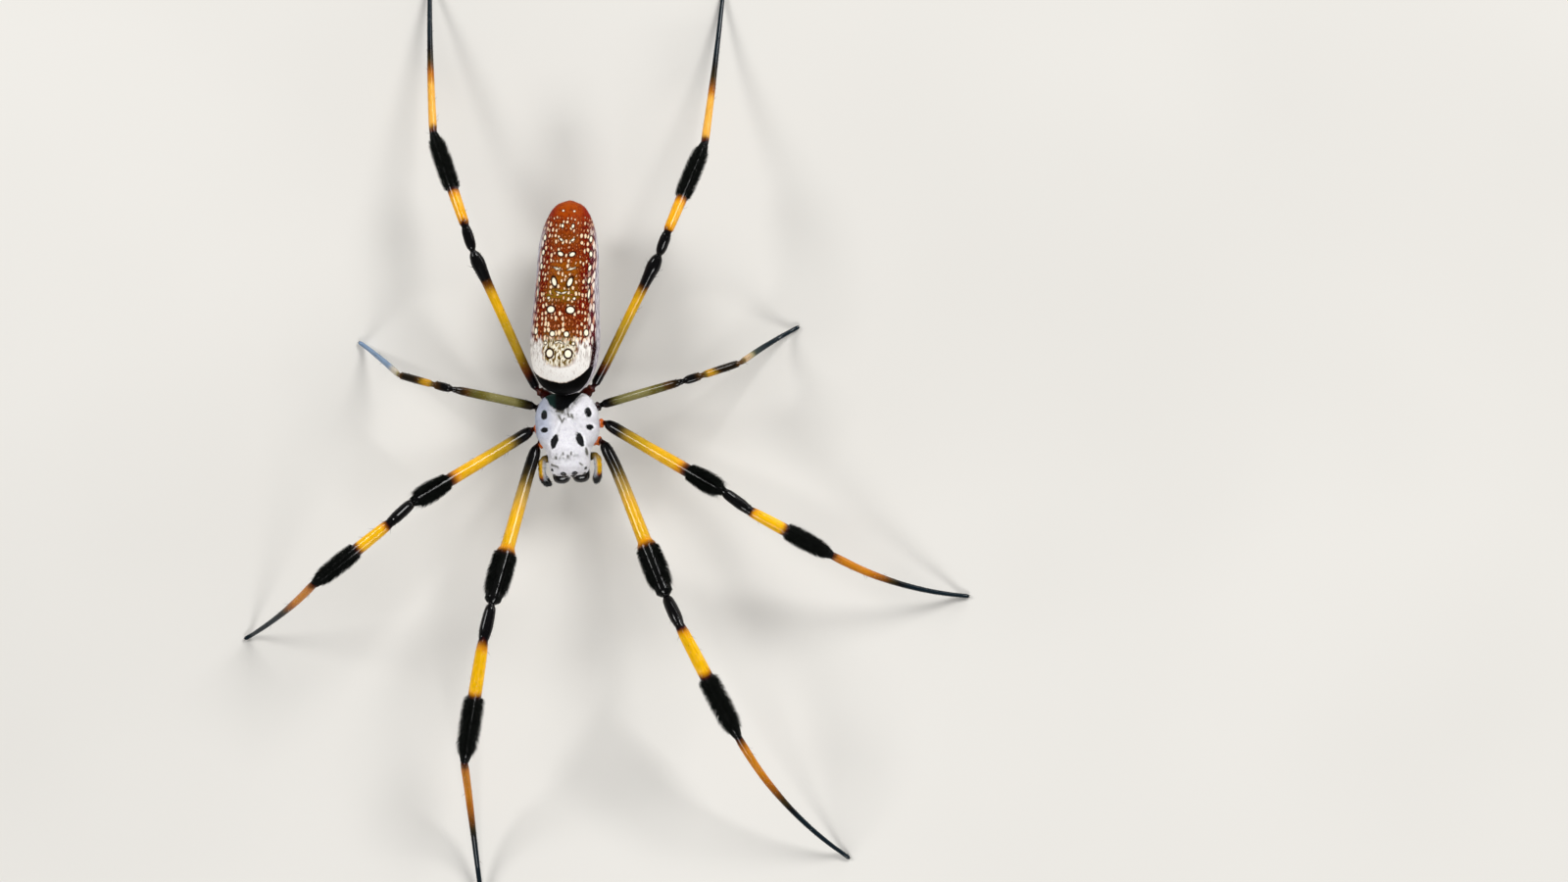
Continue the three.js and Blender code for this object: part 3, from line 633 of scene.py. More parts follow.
def thin_down(local, rear):
    """Where the down is thin: the dark marks, the rim of the triangle before the waist, and darker
    patches by the pit and at the front.
    """
    x, y = local[..., 0], local[..., 1]
    marks = np.min([away_from(x, y, mark[:4]) - mark[4] for mark in SHIELD_MARKS], axis=0)
    marks = ramp(0.09, -0.05, marks + 0.05 * grain(local, 0.2, 17))
    sparse = ramp(0.95, 0.15, rear) * ramp(-0.5, 0.3, x + 0.3)
    sparse = 0.75 * sparse * ramp(-0.5, 0.5, grain(local, 0.25, 16) + 0.2)
    dim_patches = np.maximum(hump((x - 0.15) / 1.15) * hump((y - 2.15) / 0.50),
                      hump((x + 0.35) / 1.35) * hump((y + 2.45) / 0.38))
    dim_patches *= ramp(-0.30, 0.40, grain(local, 0.24, 18))
    return np.clip(np.max([marks, sparse, dim_patches], axis=0), 0, 1)


def shield_relief(local):
    """The groove behind the head, the pit in the middle, the spokes around it, and fine lumps."""
    x, y = local[..., 0], local[..., 1]
    groove = hump((np.abs(x) - (0.35 + (2.0 - y) * 0.52)) / 0.28) * ramp(2.3, 1.2, y)
    relief = -0.20 * groove * ramp(-2.3, -1.2, y)
    relief -= 0.28 * hump(x / 0.55) * hump((y - 2.15) / 0.28)
    away = np.arctan2(np.abs(x), y - 2.1)
    for spoke in (0.55, 1.15, 1.9):
        relief -= 0.07 * hump((away - spoke) / 0.10) * ramp(0.7, 1.5, np.abs(x))
    return relief + (0.04 * grain(local, 0.8, 12) + 0.015 * grain(local, 0.25, 13))


def mark_shield(patch):
    local = head_local(patch.rings)
    x, y = local[..., 0], local[..., 1]
    bare, rear = bare_skin_and_shadow(local)
    patch.values = {
        "plan": local,
        "bare": bare + 0.07 * grain(local, 0.22, 11),
        "thin": thin_down(local, rear),
        # painted shade: a bluish tint over the right rear of the shield
        "cool": ramp(-1.0, -2.6, x) * ramp(-1.5, 1.0, y),
        # painted shadow of the abdomen, dark greenish, on the bare skin at the right rear
        "teal": ramp(-0.9, -1.5, x) * ramp(2.4, 2.9, y),
    }
    relief = np.where(patch.normals[..., 2] > 0.05, shield_relief(local), 0.0)
    eye = np.full(x.shape, 9.0)
    for centre, radius in eye_places():
        distance = np.linalg.norm(patch.rings - centre, axis=-1)
        relief += 0.10 * hump(distance / (1.6 * radius))
        ring = EYE_RINGS["side" if abs(head_local(centre)[0]) > 1.2 else "middle"]
        eye = np.minimum(eye, distance - radius - ring)
    patch.values["eye"] = eye
    patch.raise_by(relief)


# ---- legs


def tube(line, radii, upright, around, place, slot):
    """A round patch along a line of points, with a radius for each."""
    tangent = unit(np.gradient(line, axis=0))
    sideways = unit(np.cross(tangent, upright))
    upward = np.cross(sideways, tangent)
    angle = np.linspace(0, 2 * np.pi, around, endpoint=False)
    ring = (np.sin(angle)[None, :, None] * sideways[:, None]
            + np.cos(angle)[None, :, None] * upward[:, None])
    rings = line[1:-1, None] + ring[1:-1] * radii[1:-1, None, None]
    along = travelled(line)
    return Patch(rings, line[0], line[-1], along[1:-1] / along[-1], place, slot)


def ring_rows(name, sides, near=None):
    """Middle line of a CAD limb, the shares of its points, the radii of its rings, its length."""
    first, rings, last = node_rings(name, sides, near=near)
    middle = np.concatenate([[first], rings.mean(1), [last]])
    radius = np.linalg.norm(rings - rings.mean(1, keepdims=True), axis=-1).max(1)
    along = travelled(middle)
    return middle, along / along[-1], radius, along[-1]


LINE_STEP = 0.04
CORNER = 0.20       # how far the bends at the joints are rounded


class Leg:
    """The line, radii and markings of one leg, from the frame's own segments."""

    def __init__(self, number, side):
        self.number, self.name = number, f"leg_{number}_{side}"
        self.brushes = BRUSHES.get(number, {})
        near = origin + np.array([0, 0, 5.0])
        middles, self.starts, self.rows = [], {}, {}
        start = 0.0
        for segment in SEGMENTS:
            middle, shares, radius, length = ring_rows(f"{self.name}_{segment}", 8, near)
            near = middle[-1]
            self.starts[segment] = (start, length)
            self.rows[segment] = (shares[1:-1], radius)
            start += length
            middles.append(middle)
        body = [middles[0][:1]]
        for middle, following in zip(middles, middles[1:]):
            body += [middle[1:-1], (middle[-1:] + following[:1]) / 2]
        foot = led(np.concatenate([body[-1], middles[-1][1:]]))
        fine = through(foot, np.linspace(1, len(foot) - 2, 400))
        dense = np.concatenate(body + [fine[1:]])
        along = travelled(dense)
        self.length = along[-1]
        self.at = np.linspace(0, self.length, int(self.length / LINE_STEP))
        self.line = self.softened(read_rows(self.at, along, dense), CORNER / LINE_STEP)

    @staticmethod
    def softened(points, width):
        """Rounds the corners of a line over about `width` points."""
        reach = int(3 * width)
        kernel = np.exp(-0.5 * (np.arange(-reach, reach + 1) / width) ** 2)
        kernel /= kernel.sum()
        lead = 2 * points[:1] - points[reach:0:-1]
        trail = 2 * points[-1:] - points[-2:-reach - 2:-1]
        padded = np.concatenate([lead, points, trail])
        return np.stack([np.convolve(padded[:, k], kernel, "valid") for k in range(3)], -1)

    def place(self, segment, share):
        start, length = self.starts[segment]
        return start + share * length

    def skin_rows(self):
        """Distances along the leg, and the skin's radius at each."""
        at, radius, joints = [0.0], [0.25], []
        for index, segment in enumerate(SEGMENTS):
            shares, radii = self.rows[segment]
            for share, value in zip(shares, radii):
                if share > self.brushes.get(segment, 1):
                    # under a brush the skin only tapers
                    begin, thick = before
                    value = min(value, thick * (1 - 0.20 * (share - begin) / (1 - begin)))
                else:
                    before = share, value
                # the rings that only close the solids off are left out
                if (share <= 0.966 or segment == "foot") and (share >= 0.025 or index == 0):
                    at.append(self.place(segment, share))
                    radius.append(value - COAT["leg"])
            joints.append(len(at))
            at.append(self.place(segment, 1.0))
            radius.append(0.0)
        for joint, share in zip(joints[:-1], JOINT_NECKS):
            radius[joint] = share * min(radius[joint - 1], radius[joint + 1])
        at[-1], radius[-1] = self.length, 0.16
        return np.array(at), np.array(radius)

    def outline(self, segment, share):
        """Radius of the CAD segment, which is where the tips of its hair end."""
        shares, radii = self.rows[segment]
        return np.interp(share, shares, radii)

    def tint(self, at):
        places, values = [], []
        for segment, text in LEG_COLOURS[self.number].items():
            shares, found = stops(PALE_FEET.get((self.name, segment), text))
            places += [self.place(segment, share) for share in shares]
            values += found
        return read_rows(at, places, values)

    def patch(self, index):
        joints = [self.place(segment, 1.0) for segment in SEGMENTS[:-1]]
        joints.append(self.place("foot", 0.70))
        wide = np.arange(0, self.length - 0.15, 0.3)
        close = [joint + np.linspace(-0.7, 0.7, 21) for joint in joints]
        end = self.length - np.array([0.5, 0.4, 0.3, 0.2, 0.1, 0.0])
        at = np.unique(np.round(np.concatenate([wide, *close, end]), 3))
        keep = np.append(True, np.diff(at) > 0.035) & (at < at[-1])
        at = np.append(at[keep], self.length)
        line = read_rows(at, self.at, self.line)
        radius = steady(*self.skin_rows(), at)
        for joint in joints[:-1]:
            radius += 0.035 * hump((at - joint + 0.30) / 0.10)
        radius -= 0.03 * hump((at - joints[-1]) / 0.07)
        place = (0.0, index * LEG_STRIP, 1.0, LEG_STRIP - 0.004)
        patch = tube(line, radius, UP, 16, place, "leg")
        patch.rings[..., 2] = np.maximum(patch.rings[..., 2], 0.0)
        patch.last[2] = max(patch.last[2], 0.1)
        patch.find_normals()
        self.mark(patch, at[1:-1])
        return patch

    def mark(self, patch, at):
        angle = np.linspace(0, 2 * np.pi, patch.rings.shape[1], endpoint=False)
        shift = 0.35 * grain(patch.rings, 0.9, 21) + 0.12 * grain(patch.rings, 0.3, 22)
        for segment, share in self.brushes.items():
            # the colours change along a cleaner line where a brush starts
            shift[np.abs(at - self.place(segment, share)) < 1.0] *= 0.25
        at = np.repeat(at[:, None], len(angle), axis=1)
        patch.values = {
            "tint": self.tint(at + shift),
            "plan": np.stack([0.55 * angle + 0 * at, at, 0 * at + self.number], -1),
        }


# ---- building the skin

abdomen = loft(in_order(abdomen_rings, tail_axis), 230, 176, COAT["abdomen"], UNWRAP["abdomen"],
               "abdomen")
mark_abdomen(abdomen)
shield = build_shield()
mark_shield(shield)
legs = {(number, side): Leg(number, side) for number in (1, 2, 3, 4) for side in SIDES}
leg_patches = {key: leg.patch(index) for index, (key, leg) in enumerate(legs.items())}


def plate_patch(name, sides, along, around, axis, up=UP):
    """The skin of a plate of the underside or of a jaw."""
    cad = in_order(node_rings(name, sides, axis), axis, up)
    patch = loft(cad, along, around, COAT["plate"], UNWRAP[name], "horn")
    patch.values["plan"] = head_local(patch.rings)
    return patch


sternum = plate_patch("sternum", 12, 40, 40, head_axis)
labium = plate_patch("labium", 8, 14, 24, head_axis)
chelicerae = [plate_patch(f"chelicera_{side}", 10, 44, 32, -UP, head_axis) for side in SIDES]


def pedicel_patch():
    """The waist, ringed by fine folds."""
    middle, shares, radius, _ = ring_rows("pedicel", 8)
    fine = np.linspace(0, 1, 16)
    thick = 0.9 * np.interp(fine, shares, [0.35, *radius, 0.35]) - 0.03 * np.sin(30 * fine)
    patch = tube(read_rows(fine, shares, middle), thick, UP, 16, UNWRAP["pedicel"], "horn")
    patch.values["plan"] = head_local(patch.rings)
    return patch


def limb_line(middle, shares, at):
    """A smooth line through the middle line of a CAD limb, read at shares of its length."""
    return through(led(middle), 1 + np.interp(at, shares, np.arange(len(shares))))


PALP_JOINTS = (0.33, 0.46, 0.69)


def palp_patch(side):
    name = f"palp_{side}"
    middle, shares, radius, _ = ring_rows(name, 8, origin + np.array([0.0, -3.0, 4.5]))
    at = np.linspace(0, 1, 90)
    thick = steady([0, *shares[1:-1], 1], [0.22, *(radius - 0.05), 0.14], at)
    for joint in PALP_JOINTS:
        thick -= 0.09 * hump((at - joint) / 0.018)
    patch = tube(limb_line(middle, shares, at), thick, UP, 18, UNWRAP[name], "leg")
    read = at[1:-1, None] + 0.02 * grain(patch.rings, 0.5, 31)
    plan = head_local(patch.rings)
    inward = -SIGN[side] * plan[..., 0]
    inward = inward - inward.mean(1, keepdims=True)
    # painted highlight: the inner side of the palp is tinted pale bluish white for a gleam of light
    # on it; pale bristles grow there too
    gleam = ramp(0.0, 0.22, inward) * ramp(0.30, 0.44, read)
    gleam = gleam * ramp(0.78, 0.68, read)
    tint = blend(read_rows(read, *stops(PALP_COLOURS)), 0.85 * gleam, "cfdae4")
    patch.values = {"tint": tint, "gleam": gleam, "plan": plan}
    return patch


palps = [palp_patch(side) for side in SIDES]


def spinneret_patches():
    """The round base under the tail, its six cones, and the lobe behind them."""
    low, high = (np.array(corner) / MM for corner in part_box("spinnerets"))
    centre = (low + high) / 2
    base = np.array([centre[0], centre[1], 0.0])
    floor, top = low[2], high[2] + 0.35
    rows = [((0, 0, top), (0, 0, top - 1.0), 0.78)]
    for side in (-1, 1):
        rows += [((0.33 * side, -0.36, top - 0.45), (0.20 * side, -0.42, floor), 0.30),
                 ((0.33 * side, 0.36, top - 0.45), (0.16 * side, 0.80, floor + 0.1), 0.27),
                 ((0.12 * side, 0.02, top - 0.6), (0.08 * side, 0.10, floor + 0.35), 0.13)]
    rows.append(((0, 0.62, top - 0.2), (0, 1.0, top - 0.72), 0.30))
    made = []
    left, bottom, width, height = UNWRAP["spinnerets"]
    at = np.linspace(0, 1, 18)
    for index, (start, end, radius) in enumerate(rows):
        start, end = (base + turned(np.array(p, float), TAIL_YAW) for p in (start, end))
        line = start + (end - start) * at[:, None]
        profile = radius * np.sqrt(np.clip(1 - (2 * at - 1) ** 8, 0, 1)) * (1 - 0.42 * at)
        profile *= 1 - 0.10 * hump((at - 0.62) / 0.03)
        cell = (left + width * index / len(rows), bottom, width / len(rows) - 0.004, height)
        patch = tube(line, profile, np.array([0, 1.0, 0.05]), 16, cell, "leg")
        shade = at[1:-1, None] * np.ones(patch.rings.shape[:2])
        patch.values = {"tint": blend(colour("241008"), shade, "7a3a10"),
                        "plan": patch.rings - centre}
        made.append(patch)
    return made


patches = [abdomen, shield, *leg_patches.values(), sternum, labium, *chelicerae, pedicel_patch(),
           *palps, *spinneret_patches()]

# ---- making meshes

DEFAULTS = {"tint": np.array([0.02, 0.02, 0.02]), "plan": np.zeros(3), "solid": np.zeros(3)}
ATTRIBUTE_KINDS = {1: ("FLOAT", "value"), 3: ("FLOAT_VECTOR", "vector"), 4: ("FLOAT_COLOR", "color")}


def put(name, data):
    """An object in the scene that shows the data."""
    made = bpy.data.objects.new(name, data)
    bpy.context.scene.collection.objects.link(made)
    return made


def new_mesh(name, points, faces, uvs, values):
    """A mesh object from arrays; faces is a list of (count, corners) index arrays."""
    mesh = bpy.data.meshes.new(name)
    mesh.vertices.add(len(points))
    mesh.vertices.foreach_set("co", (points * MM).astype(np.float32).ravel())
    corners = np.concatenate([f.ravel() for f in faces]).astype(np.int32)
    sizes = np.concatenate([np.full(len(f), f.shape[1]) for f in faces])
    starts = np.concatenate([[0], np.cumsum(sizes)[:-1]]).astype(np.int32)
    mesh.loops.add(len(corners))
    mesh.loops.foreach_set("vertex_index", corners)
    mesh.polygons.add(len(sizes))
    mesh.polygons.foreach_set("loop_start", starts)
    mesh.update(calc_edges=True)
    layer = mesh.uv_layers.new(name="OFBake")
    layer.data.foreach_set("uv", uvs.astype(np.float32).ravel())
    for key, data in values.items():
        data = data.reshape(len(points), -1)
        if key == "tint":
            data = np.column_stack([data, np.ones(len(data))])
        kind, field = ATTRIBUTE_KINDS[data.shape[1]]
        attribute = mesh.attributes.new(key, kind, "POINT")
        attribute.data.foreach_set(field, data.astype(np.float32).ravel())
    mesh.validate()
    mesh.shade_smooth()
    return put(name, mesh)


def patch_faces(part, base):
    """Four-sided faces of a patch, three-sided ones at its ends, and where both are unwrapped."""
    n, m = part.rings.shape[:2]
    column = np.arange(m)
    grid = base + np.arange(n * m).reshape(n, m)
    sides = grid, np.roll(grid, -1, 1)
    rows, columns = np.meshgrid(np.arange(n - 1), column, indexing="ij")
    corners = ((0, 0), (0, 1), (1, 1), (1, 0))
    quads = np.stack([sides[b][a:n - 1 + a] for a, b in corners], -1).reshape(-1, 4)
    quad_uv = np.stack([part.uv(rows + a, columns + b) for a, b in corners], 2).reshape(-1, 4, 2)
    fans, fan_uv = [], []
    for tip, tip_row, row, near in ((0, -1, 0, 1), (1, n, n - 1, 0)):
        tips = np.full(m, base + n * m + tip)
        fans.append(np.stack([tips, sides[near][row], sides[1 - near][row]], -1))
        fan_uv.append(np.stack([part.uv(np.full(m, tip_row), column + 0.5),
                                part.uv(np.full(m, row), column + near),
                                part.uv(np.full(m, row), column + 1 - near)], 1))
    found = quads, quad_uv, np.concatenate(fans), np.concatenate(fan_uv)
    a, b, c = part.rings[0, 0], part.rings[0, 1], part.rings[1, 1]
    if np.dot(np.cross(b - a, c - a), part.normals[0, 0]) < 0:
        found = [corners[:, ::-1] for corners in found]
    return found


def join_patches(name, parts, slots):
    """One mesh from many patches, with the patches' slots as material numbers."""
    keys = sorted({key for part in parts for key in part.values} | {"tint", "plan"})
    values = {key: [] for key in keys}
    points, quads, quad_uv, quad_slots, fans, fan_uv, fan_slots = ([] for _ in range(7))
    base = 0
    for part in parts:
        n, m = part.rings.shape[:2]
        quad, uv, fan, places = patch_faces(part, base)
        points.append(np.concatenate([part.rings.reshape(-1, 3), [part.first, part.last]]))
        slot = slots.index(part.slot)
        for listed, found in ((quads, quad), (quad_uv, uv.reshape(-1, 2)), (fans, fan),
                              (fan_uv, places.reshape(-1, 2)), (quad_slots, [slot] * len(quad)),
                              (fan_slots, [slot] * len(fan))):
            listed.append(found)
        for key in keys:
            blank = DEFAULTS.get(key, 0.0)
            data = part.values.get(key, np.broadcast_to(blank, (n, m) + np.shape(blank)))
            ends = np.stack([data[0].mean(0), data[-1].mean(0)])
            values[key].append(np.concatenate([data.reshape((n * m,) + np.shape(blank)), ends]))
        base += n * m + 2
    made = new_mesh(name, np.concatenate(points), [np.concatenate(quads), np.concatenate(fans)],
                    np.concatenate(quad_uv + fan_uv),
                    {key: np.concatenate(data) for key, data in values.items()})
    numbers = np.concatenate(quad_slots + fan_slots).astype(np.int32)
    made.data.polygons.foreach_set("material_index", numbers)
    return made


SPOKES = np.array([(math.cos(a), math.sin(a)) for a in np.radians((90, 210, 330))])
PATCH_RADIUS = 0.0015
FLOOR_CLEARANCE = 0.004


def spikes(name, found, depth, steps=2):
    """Closed three-sided tapering hairs that leave along `first` and end along `last`."""
    roots = found["root"] - depth * found["normal"]
    count = len(roots)
    first, last = unit(found["first"]), unit(found["last"])
    sideways = unit(np.cross(first, last + 0.31 * unit(random.normal(size=(count, 3)))))
    shares = np.linspace(0, 1, steps + 1)[:-1]
    length, width = found["length"][:, None], found["width"][:, None]
    rings = []
    for share in shares:
        centre = roots + length * (first * share + (last - first) * share**2 / 2)
        along = unit(first + (last - first) * share)
        other = np.cross(along, sideways)
        radius = width / 2 * (1 - share**1.4)
        for c, s in SPOKES:
            rings.append(centre + radius * (c * sideways + s * other))
    tip = roots + length * (first + last) / 2
    points = np.stack(rings + [tip], 1)
    points[..., 2] = np.maximum(points[..., 2], FLOOR_CLEARANCE)
    each = points.shape[1]
    faces = [(0, 1, 2)]
    for a in range(3 * steps):
        b = a + 1 if a % 3 < 2 else a - 2
        last_row = a >= 3 * (steps - 1)
        faces += [(a, each - 1, b)] if last_row else [(a, a + 3, b), (b, a + 3, b + 3)]
    all_faces = (np.array(faces) + each * np.arange(count)[:, None, None]).reshape(-1, 3)
    spread = [SPOKES * PATCH_RADIUS * (1 - 0.6 * row / steps) for row in range(steps)]
    corner_uv = found["uv"][:, None] + np.concatenate([*spread, [(0, 0)]])
    values = {key: np.repeat(found[key], each, axis=0) for key in ("tint", "plan")}
    values["tipward"] = np.tile(np.append(np.repeat(shares, 3), 1.0), count)
    return new_mesh(name, points.reshape(-1, 3), [all_faces],
                    corner_uv.reshape(-1, 2)[all_faces.ravel()], values)


# ---- materials


class Look:
    """A procedural material, put together node by node; a text as an input reads a mesh attribute."""

    def __init__(self, name, **sockets):
        self.material = bpy.data.materials.new(name)
        self.material.use_nodes = True
        self.tree = self.material.node_tree
        self.shader = self.tree.nodes["Principled BSDF"]
        for key, value in sockets.items():
            self.shader.inputs[key.replace("_", " ")].default_value = value

    def make(self, kind, inputs, output=0, **settings):
        node = self.tree.nodes.new("ShaderNode" + kind)
        for key, value in settings.items():
            setattr(node, key, value)
        for key, value in inputs.items():
            socket = node.inputs[key]
            if isinstance(value, str):
                kind = "Vector" if socket.type == "VECTOR" else "Fac"
                value = self.make("Attribute", {}, kind, attribute_name=value)
            if isinstance(value, bpy.types.NodeSocket):
                self.tree.links.new(value, socket)
            else:
                socket.default_value = value
        return node.outputs[output]

    def tint(self):
        return self.make("Attribute", {}, "Color", attribute_name="tint")

    def math(self, operation, a, b):
        return self.make("Math", {0: a, 1: b}, operation=operation)

    def times(self, a, b):
        return self.math("MULTIPLY", a, b)

    def less(self, a, b):
        return self.math("SUBTRACT", a, b)

    def step(self, value, low, high, to=(0.0, 1.0)):
        """A soft step from one value to another as `value` goes from low to high."""
        return self.make("MapRange", {"Value": value, "From Min": low, "From Max": high,
                                      "To Min": to[0], "To Max": to[1]},
                         interpolation_type="SMOOTHSTEP")

    def mix(self, share, a, b):
        """From colour a to colour b, each a socket or a web colour."""
        a, b = ((*colour(v), 1.0) if isinstance(v, str) else v for v in (a, b))
        return self.make("Mix", {0: share, 6: a, 7: b}, 2, data_type="RGBA")

    def scaled(self, vector, scale):
        return self.make("VectorMath", {0: vector, 1: scale}, operation="MULTIPLY")

    def noise(self, vector, scale, detail=2.0, roughness=0.5):
        return self.make("TexNoise", {"Vector": vector, "Scale": scale, "Detail": detail,
                                      "Roughness": roughness}, "Fac")

    def cells(self, vector, scale, randomness, output="Distance"):
        return self.make("TexVoronoi", {"Vector": vector, "Scale": scale, "Randomness": randomness},
                         output, voronoi_dimensions="2D")

    def bump(self, height, distance, strength=1.0):
        return self.make("Bump", {"Height": height, "Distance": distance * MM,
                                  "Strength": strength})

    def use(self, **outputs):
        for key, value in outputs.items():
            self.tree.links.new(value, self.shader.inputs[key.replace("_", " ")])
        return self.material


def dappled(look, bent, base):
    """Fine orange flecks, and larger pale grains, each in a dark rim."""
    dotted = look.step("dots", 0.05, 0.2)
    flecks = look.cells(look.scaled(bent, (1.0, 0.55, 1.0)), 4.2, 0.9)
    base = look.mix(look.times(look.step(flecks, 0.36, 0.10, (0.0, 0.8)), dotted), base, "a8501a")
    stretched = look.scaled(bent, (1.0, 0.60, 1.0))
    distance = look.cells(stretched, 2.35, 0.55)
    chance = look.make("SeparateColor", {0: look.cells(stretched, 2.35, 0.55, "Color")})
    size = look.times("dots", look.step(chance, 0.0, 1.0, (0.50, 1.0)))
    outside = look.less(distance, size)
    dark = look.times(look.step(outside, 0.22, 0.04, (0.0, 0.7)), dotted)
    peach = look.mix(look.step(chance, 0.15, 0.75), "c87040", "fbdcb4")
    return look.mix(look.step(outside, 0.07, -0.12), look.mix(dark, base, "340602"), peach)


def flank_tone(look, bent, streaks):
    """Long pale grains on purple brown, and plain silver towards the edge."""
    long_cells = look.scaled(bent, (1.0, 0.44, 1.0))
    edge = look.cells(long_cells, 1.9, 0.65)
    whole = look.make("SeparateColor", {0: look.cells(long_cells, 1.9, 0.65, "Color")})
    shell = look.mix(look.step(whole, 0.35, 0.85), "f8eadc", "c88c72")
    tone = look.mix(look.step(edge, 0.50, 0.26), "5a1c24", shell)
    return look.mix("outer", tone, look.mix(look.step(streaks, 0.36, 0.66), "d2ced4", "7e7482"))


def netted_tone(look, bent):
    """Pale threads on brown, inside the white band."""
    threads = look.noise(look.scaled(bent, (2.5, 1.0, 1.0)), 1.75, 1.0, 0.4)
    tone = look.mix(look.step(threads, 0.40, 0.58), "7c661c", "f8f1dc")
    return look.mix(look.step(threads, 0.32, 0.43), "4e3a0e", tone)


def white_band(look, streaks, base):
    """The white band, whose arms break up into streaks."""
    pale = look.noise(look.scaled("plan", (3.0, 0.8, 1)), 1.6, 3.0)
    cream = look.mix(look.step(pale, 0.55, 0.80, (0.0, 0.7)), "f4f0ea", "b9ada2")
    arm = look.times("fade", look.step(streaks, 0.44, 0.60))
    cream = look.mix(look.times(arm, 0.85), cream, "857468")
    torn = look.times("fade", look.less(streaks, 0.46))
    band = look.math("ADD", look.times(torn, 0.7), "band")
    return look.mix(look.step(band, 0.14, -0.18), base, cream)


def underside_tone(look):
    spots = look.step(look.cells("solid", 0.75, 0.9), 0.26, 0.16)
    return look.mix("lung", look.mix(spots, "33190c", "caa54a"), "4f2510")


def abdomen_look():
    look = Look("abdomen", Specular_IOR_Level=0.03)
    swirl = look.make("TexNoise", {"Vector": "plan", "Scale": 1.5, "Detail": 2.0}, "Color")
    bent = look.make("VectorMath", {0: swirl, 1: (0.45, 0.45, 0.0), 2: "plan"},
                     operation="MULTIPLY_ADD")
    streaks = look.noise(look.scaled("plan", (3.0, 0.7, 1.0)), 1.5, 2.0)
    mottle = look.noise("solid", 2.6, 4.0, 0.6)
    base = look.mix(look.step(mottle, 0.45, 0.66, (0.0, 0.5)), look.tint(), "4a0803")
    base = dappled(look, bent, base)
    base = look.mix("flank", base, flank_tone(look, bent, streaks))
    base = look.mix("strip", base, "24090c")
    base = look.mix(look.times("net", 0.9), base, netted_tone(look, bent))
    base = white_band(look, streaks, base)
    # the paired spots of the back, and the black front
    base = look.mix(look.step("rim", 0.10, -0.04), base, "2c0c03")
    base = look.mix(look.step("spot", 0.04, -0.05), base, "fff6dc")
    base = look.mix(look.step("front", 0.06, -0.06), base, "040404")
    base = look.mix("belly", base, underside_tone(look))
    fur = look.noise(look.scaled("solid", (7.0, 2.5, 7.0)), 2.0, 3.0)
    return look.use(Base_Color=base, Normal=look.bump(fur, 0.02, 0.5),
                    Roughness=look.step(mottle, 0.2, 0.8, (0.40, 0.54)))


def shield_look():
    look = Look("shield", Specular_IOR_Level=0.04, Sheen_Weight=0.1, Sheen_Roughness=0.5)
    strands = look.noise(look.scaled("plan", (9.0, 2.2, 5.0)), 2.2, 3.0, 0.6)
    clumps = look.noise("plan", 1.5, 3.0)
    fur = look.mix(look.step(strands, 0.34, 0.56), "d6d2de", "faf9fb")
    fur = look.mix(look.step(clumps, 0.58, 0.75, (0.0, 0.25)), fur, "b4aebc")
    # painted shade: bluish over the right rear of the down
    fur = look.mix(look.times("cool", 0.6), fur, "b4c0dc")
    fur = look.mix(look.times("thin", 0.9), fur, "3c3a24")
    hard = look.mix(look.step(look.noise("plan", 5.0, 3.0), 0.35, 0.7), "040405", "0b0e12")
    # painted shadow of the abdomen, dark greenish, on the bare skin at the right rear
    hard = look.mix("teal", hard, "1a3430")
    # bare black skin, and before the waist painted shadow of the abdomen as well
    share = look.step(look.math("ADD", "bare", look.times(strands, 0.16)), 0.16, 0.02)
    share = look.math("MAXIMUM", share, look.step("eye", 0.06, -0.02))
    base = look.mix(share, fur, hard)
    rough = look.make("MapRange", {"Value": share, "To Min": 0.65, "To Max": 0.40})
    height = look.times(strands, look.less(1.0, share))
    return look.use(Base_Color=base, Roughness=rough, Normal=look.bump(height, 0.06, 0.7))


def leg_look():
    look = Look("leg", Specular_IOR_Level=0.03, Coat_Weight=0.40, Coat_Roughness=0.06)
    streaks = look.noise(look.scaled("plan", (4.0, 0.5, 1.0)), 1.6, 2.0)
    blotch = look.noise("plan", 0.9, 3.0)
    base = look.tint()
    dark = look.make("HueSaturation", {"Value": 0.84, "Saturation": 1.03, "Color": base})
    light = look.make("HueSaturation", {"Value": 1.10, "Saturation": 0.97, "Color": base})
    base = look.mix(look.step(streaks, 0.36, 0.60), dark, base)
    base = look.mix(look.step(blotch, 0.50, 0.70, (0.0, 0.6)), base, light)
    fine = look.noise(look.scaled("plan", (6.0, 9.0, 1.0)), 2.5, 2.0)
    return look.use(Base_Color=base, Normal=look.bump(fine, 0.005, 0.5),
                    Roughness=look.step(blotch, 0.3, 0.7, (0.28, 0.42)))


def horn_look(name, dark, light, rough):
    look = Look(name, Specular_IOR_Level=0.2, Coat_Weight=0.4, Coat_Roughness=0.10)
    patchy = look.noise("plan", 1.1, 4.0)
    base = look.mix(look.step(patchy, 0.45, 0.75), dark, light)
    fine = look.noise("plan", 7.0, 2.0)
    return look.use(Base_Color=base, Normal=look.bump(fine, 0.02, 0.5),
                    Roughness=look.step(patchy, 0.3, 0.7, (rough, rough + 0.14)))


def hair_look(name, rough, tip_light):
    look = Look(name, Specular_IOR_Level=0.1, Roughness=rough)
    base = look.tint()
    light = look.make("HueSaturation", {"Value": tip_light, "Color": base})
    base = look.mix(look.step("tipward", 0.3, 1.0), base, light)
    base = look.mix(look.step(look.noise("plan", 1.4, 2.0), 0.4, 0.7, (0.0, 0.4)),
                    base, look.make("HueSaturation", {"Value": 0.7, "Color": look.tint()}))
    return look.use(Base_Color=base)


def eye_look():
    look = Look("eye", Roughness=0.06, Specular_IOR_Level=0.7, Coat_Weight=0.6, Coat_Roughness=0.03)
    lens = look.noise("plan", 3.0, 2.0)
    return look.use(Base_Color=look.mix(look.step(lens, 0.35, 0.7), "050506", "1f120c"))


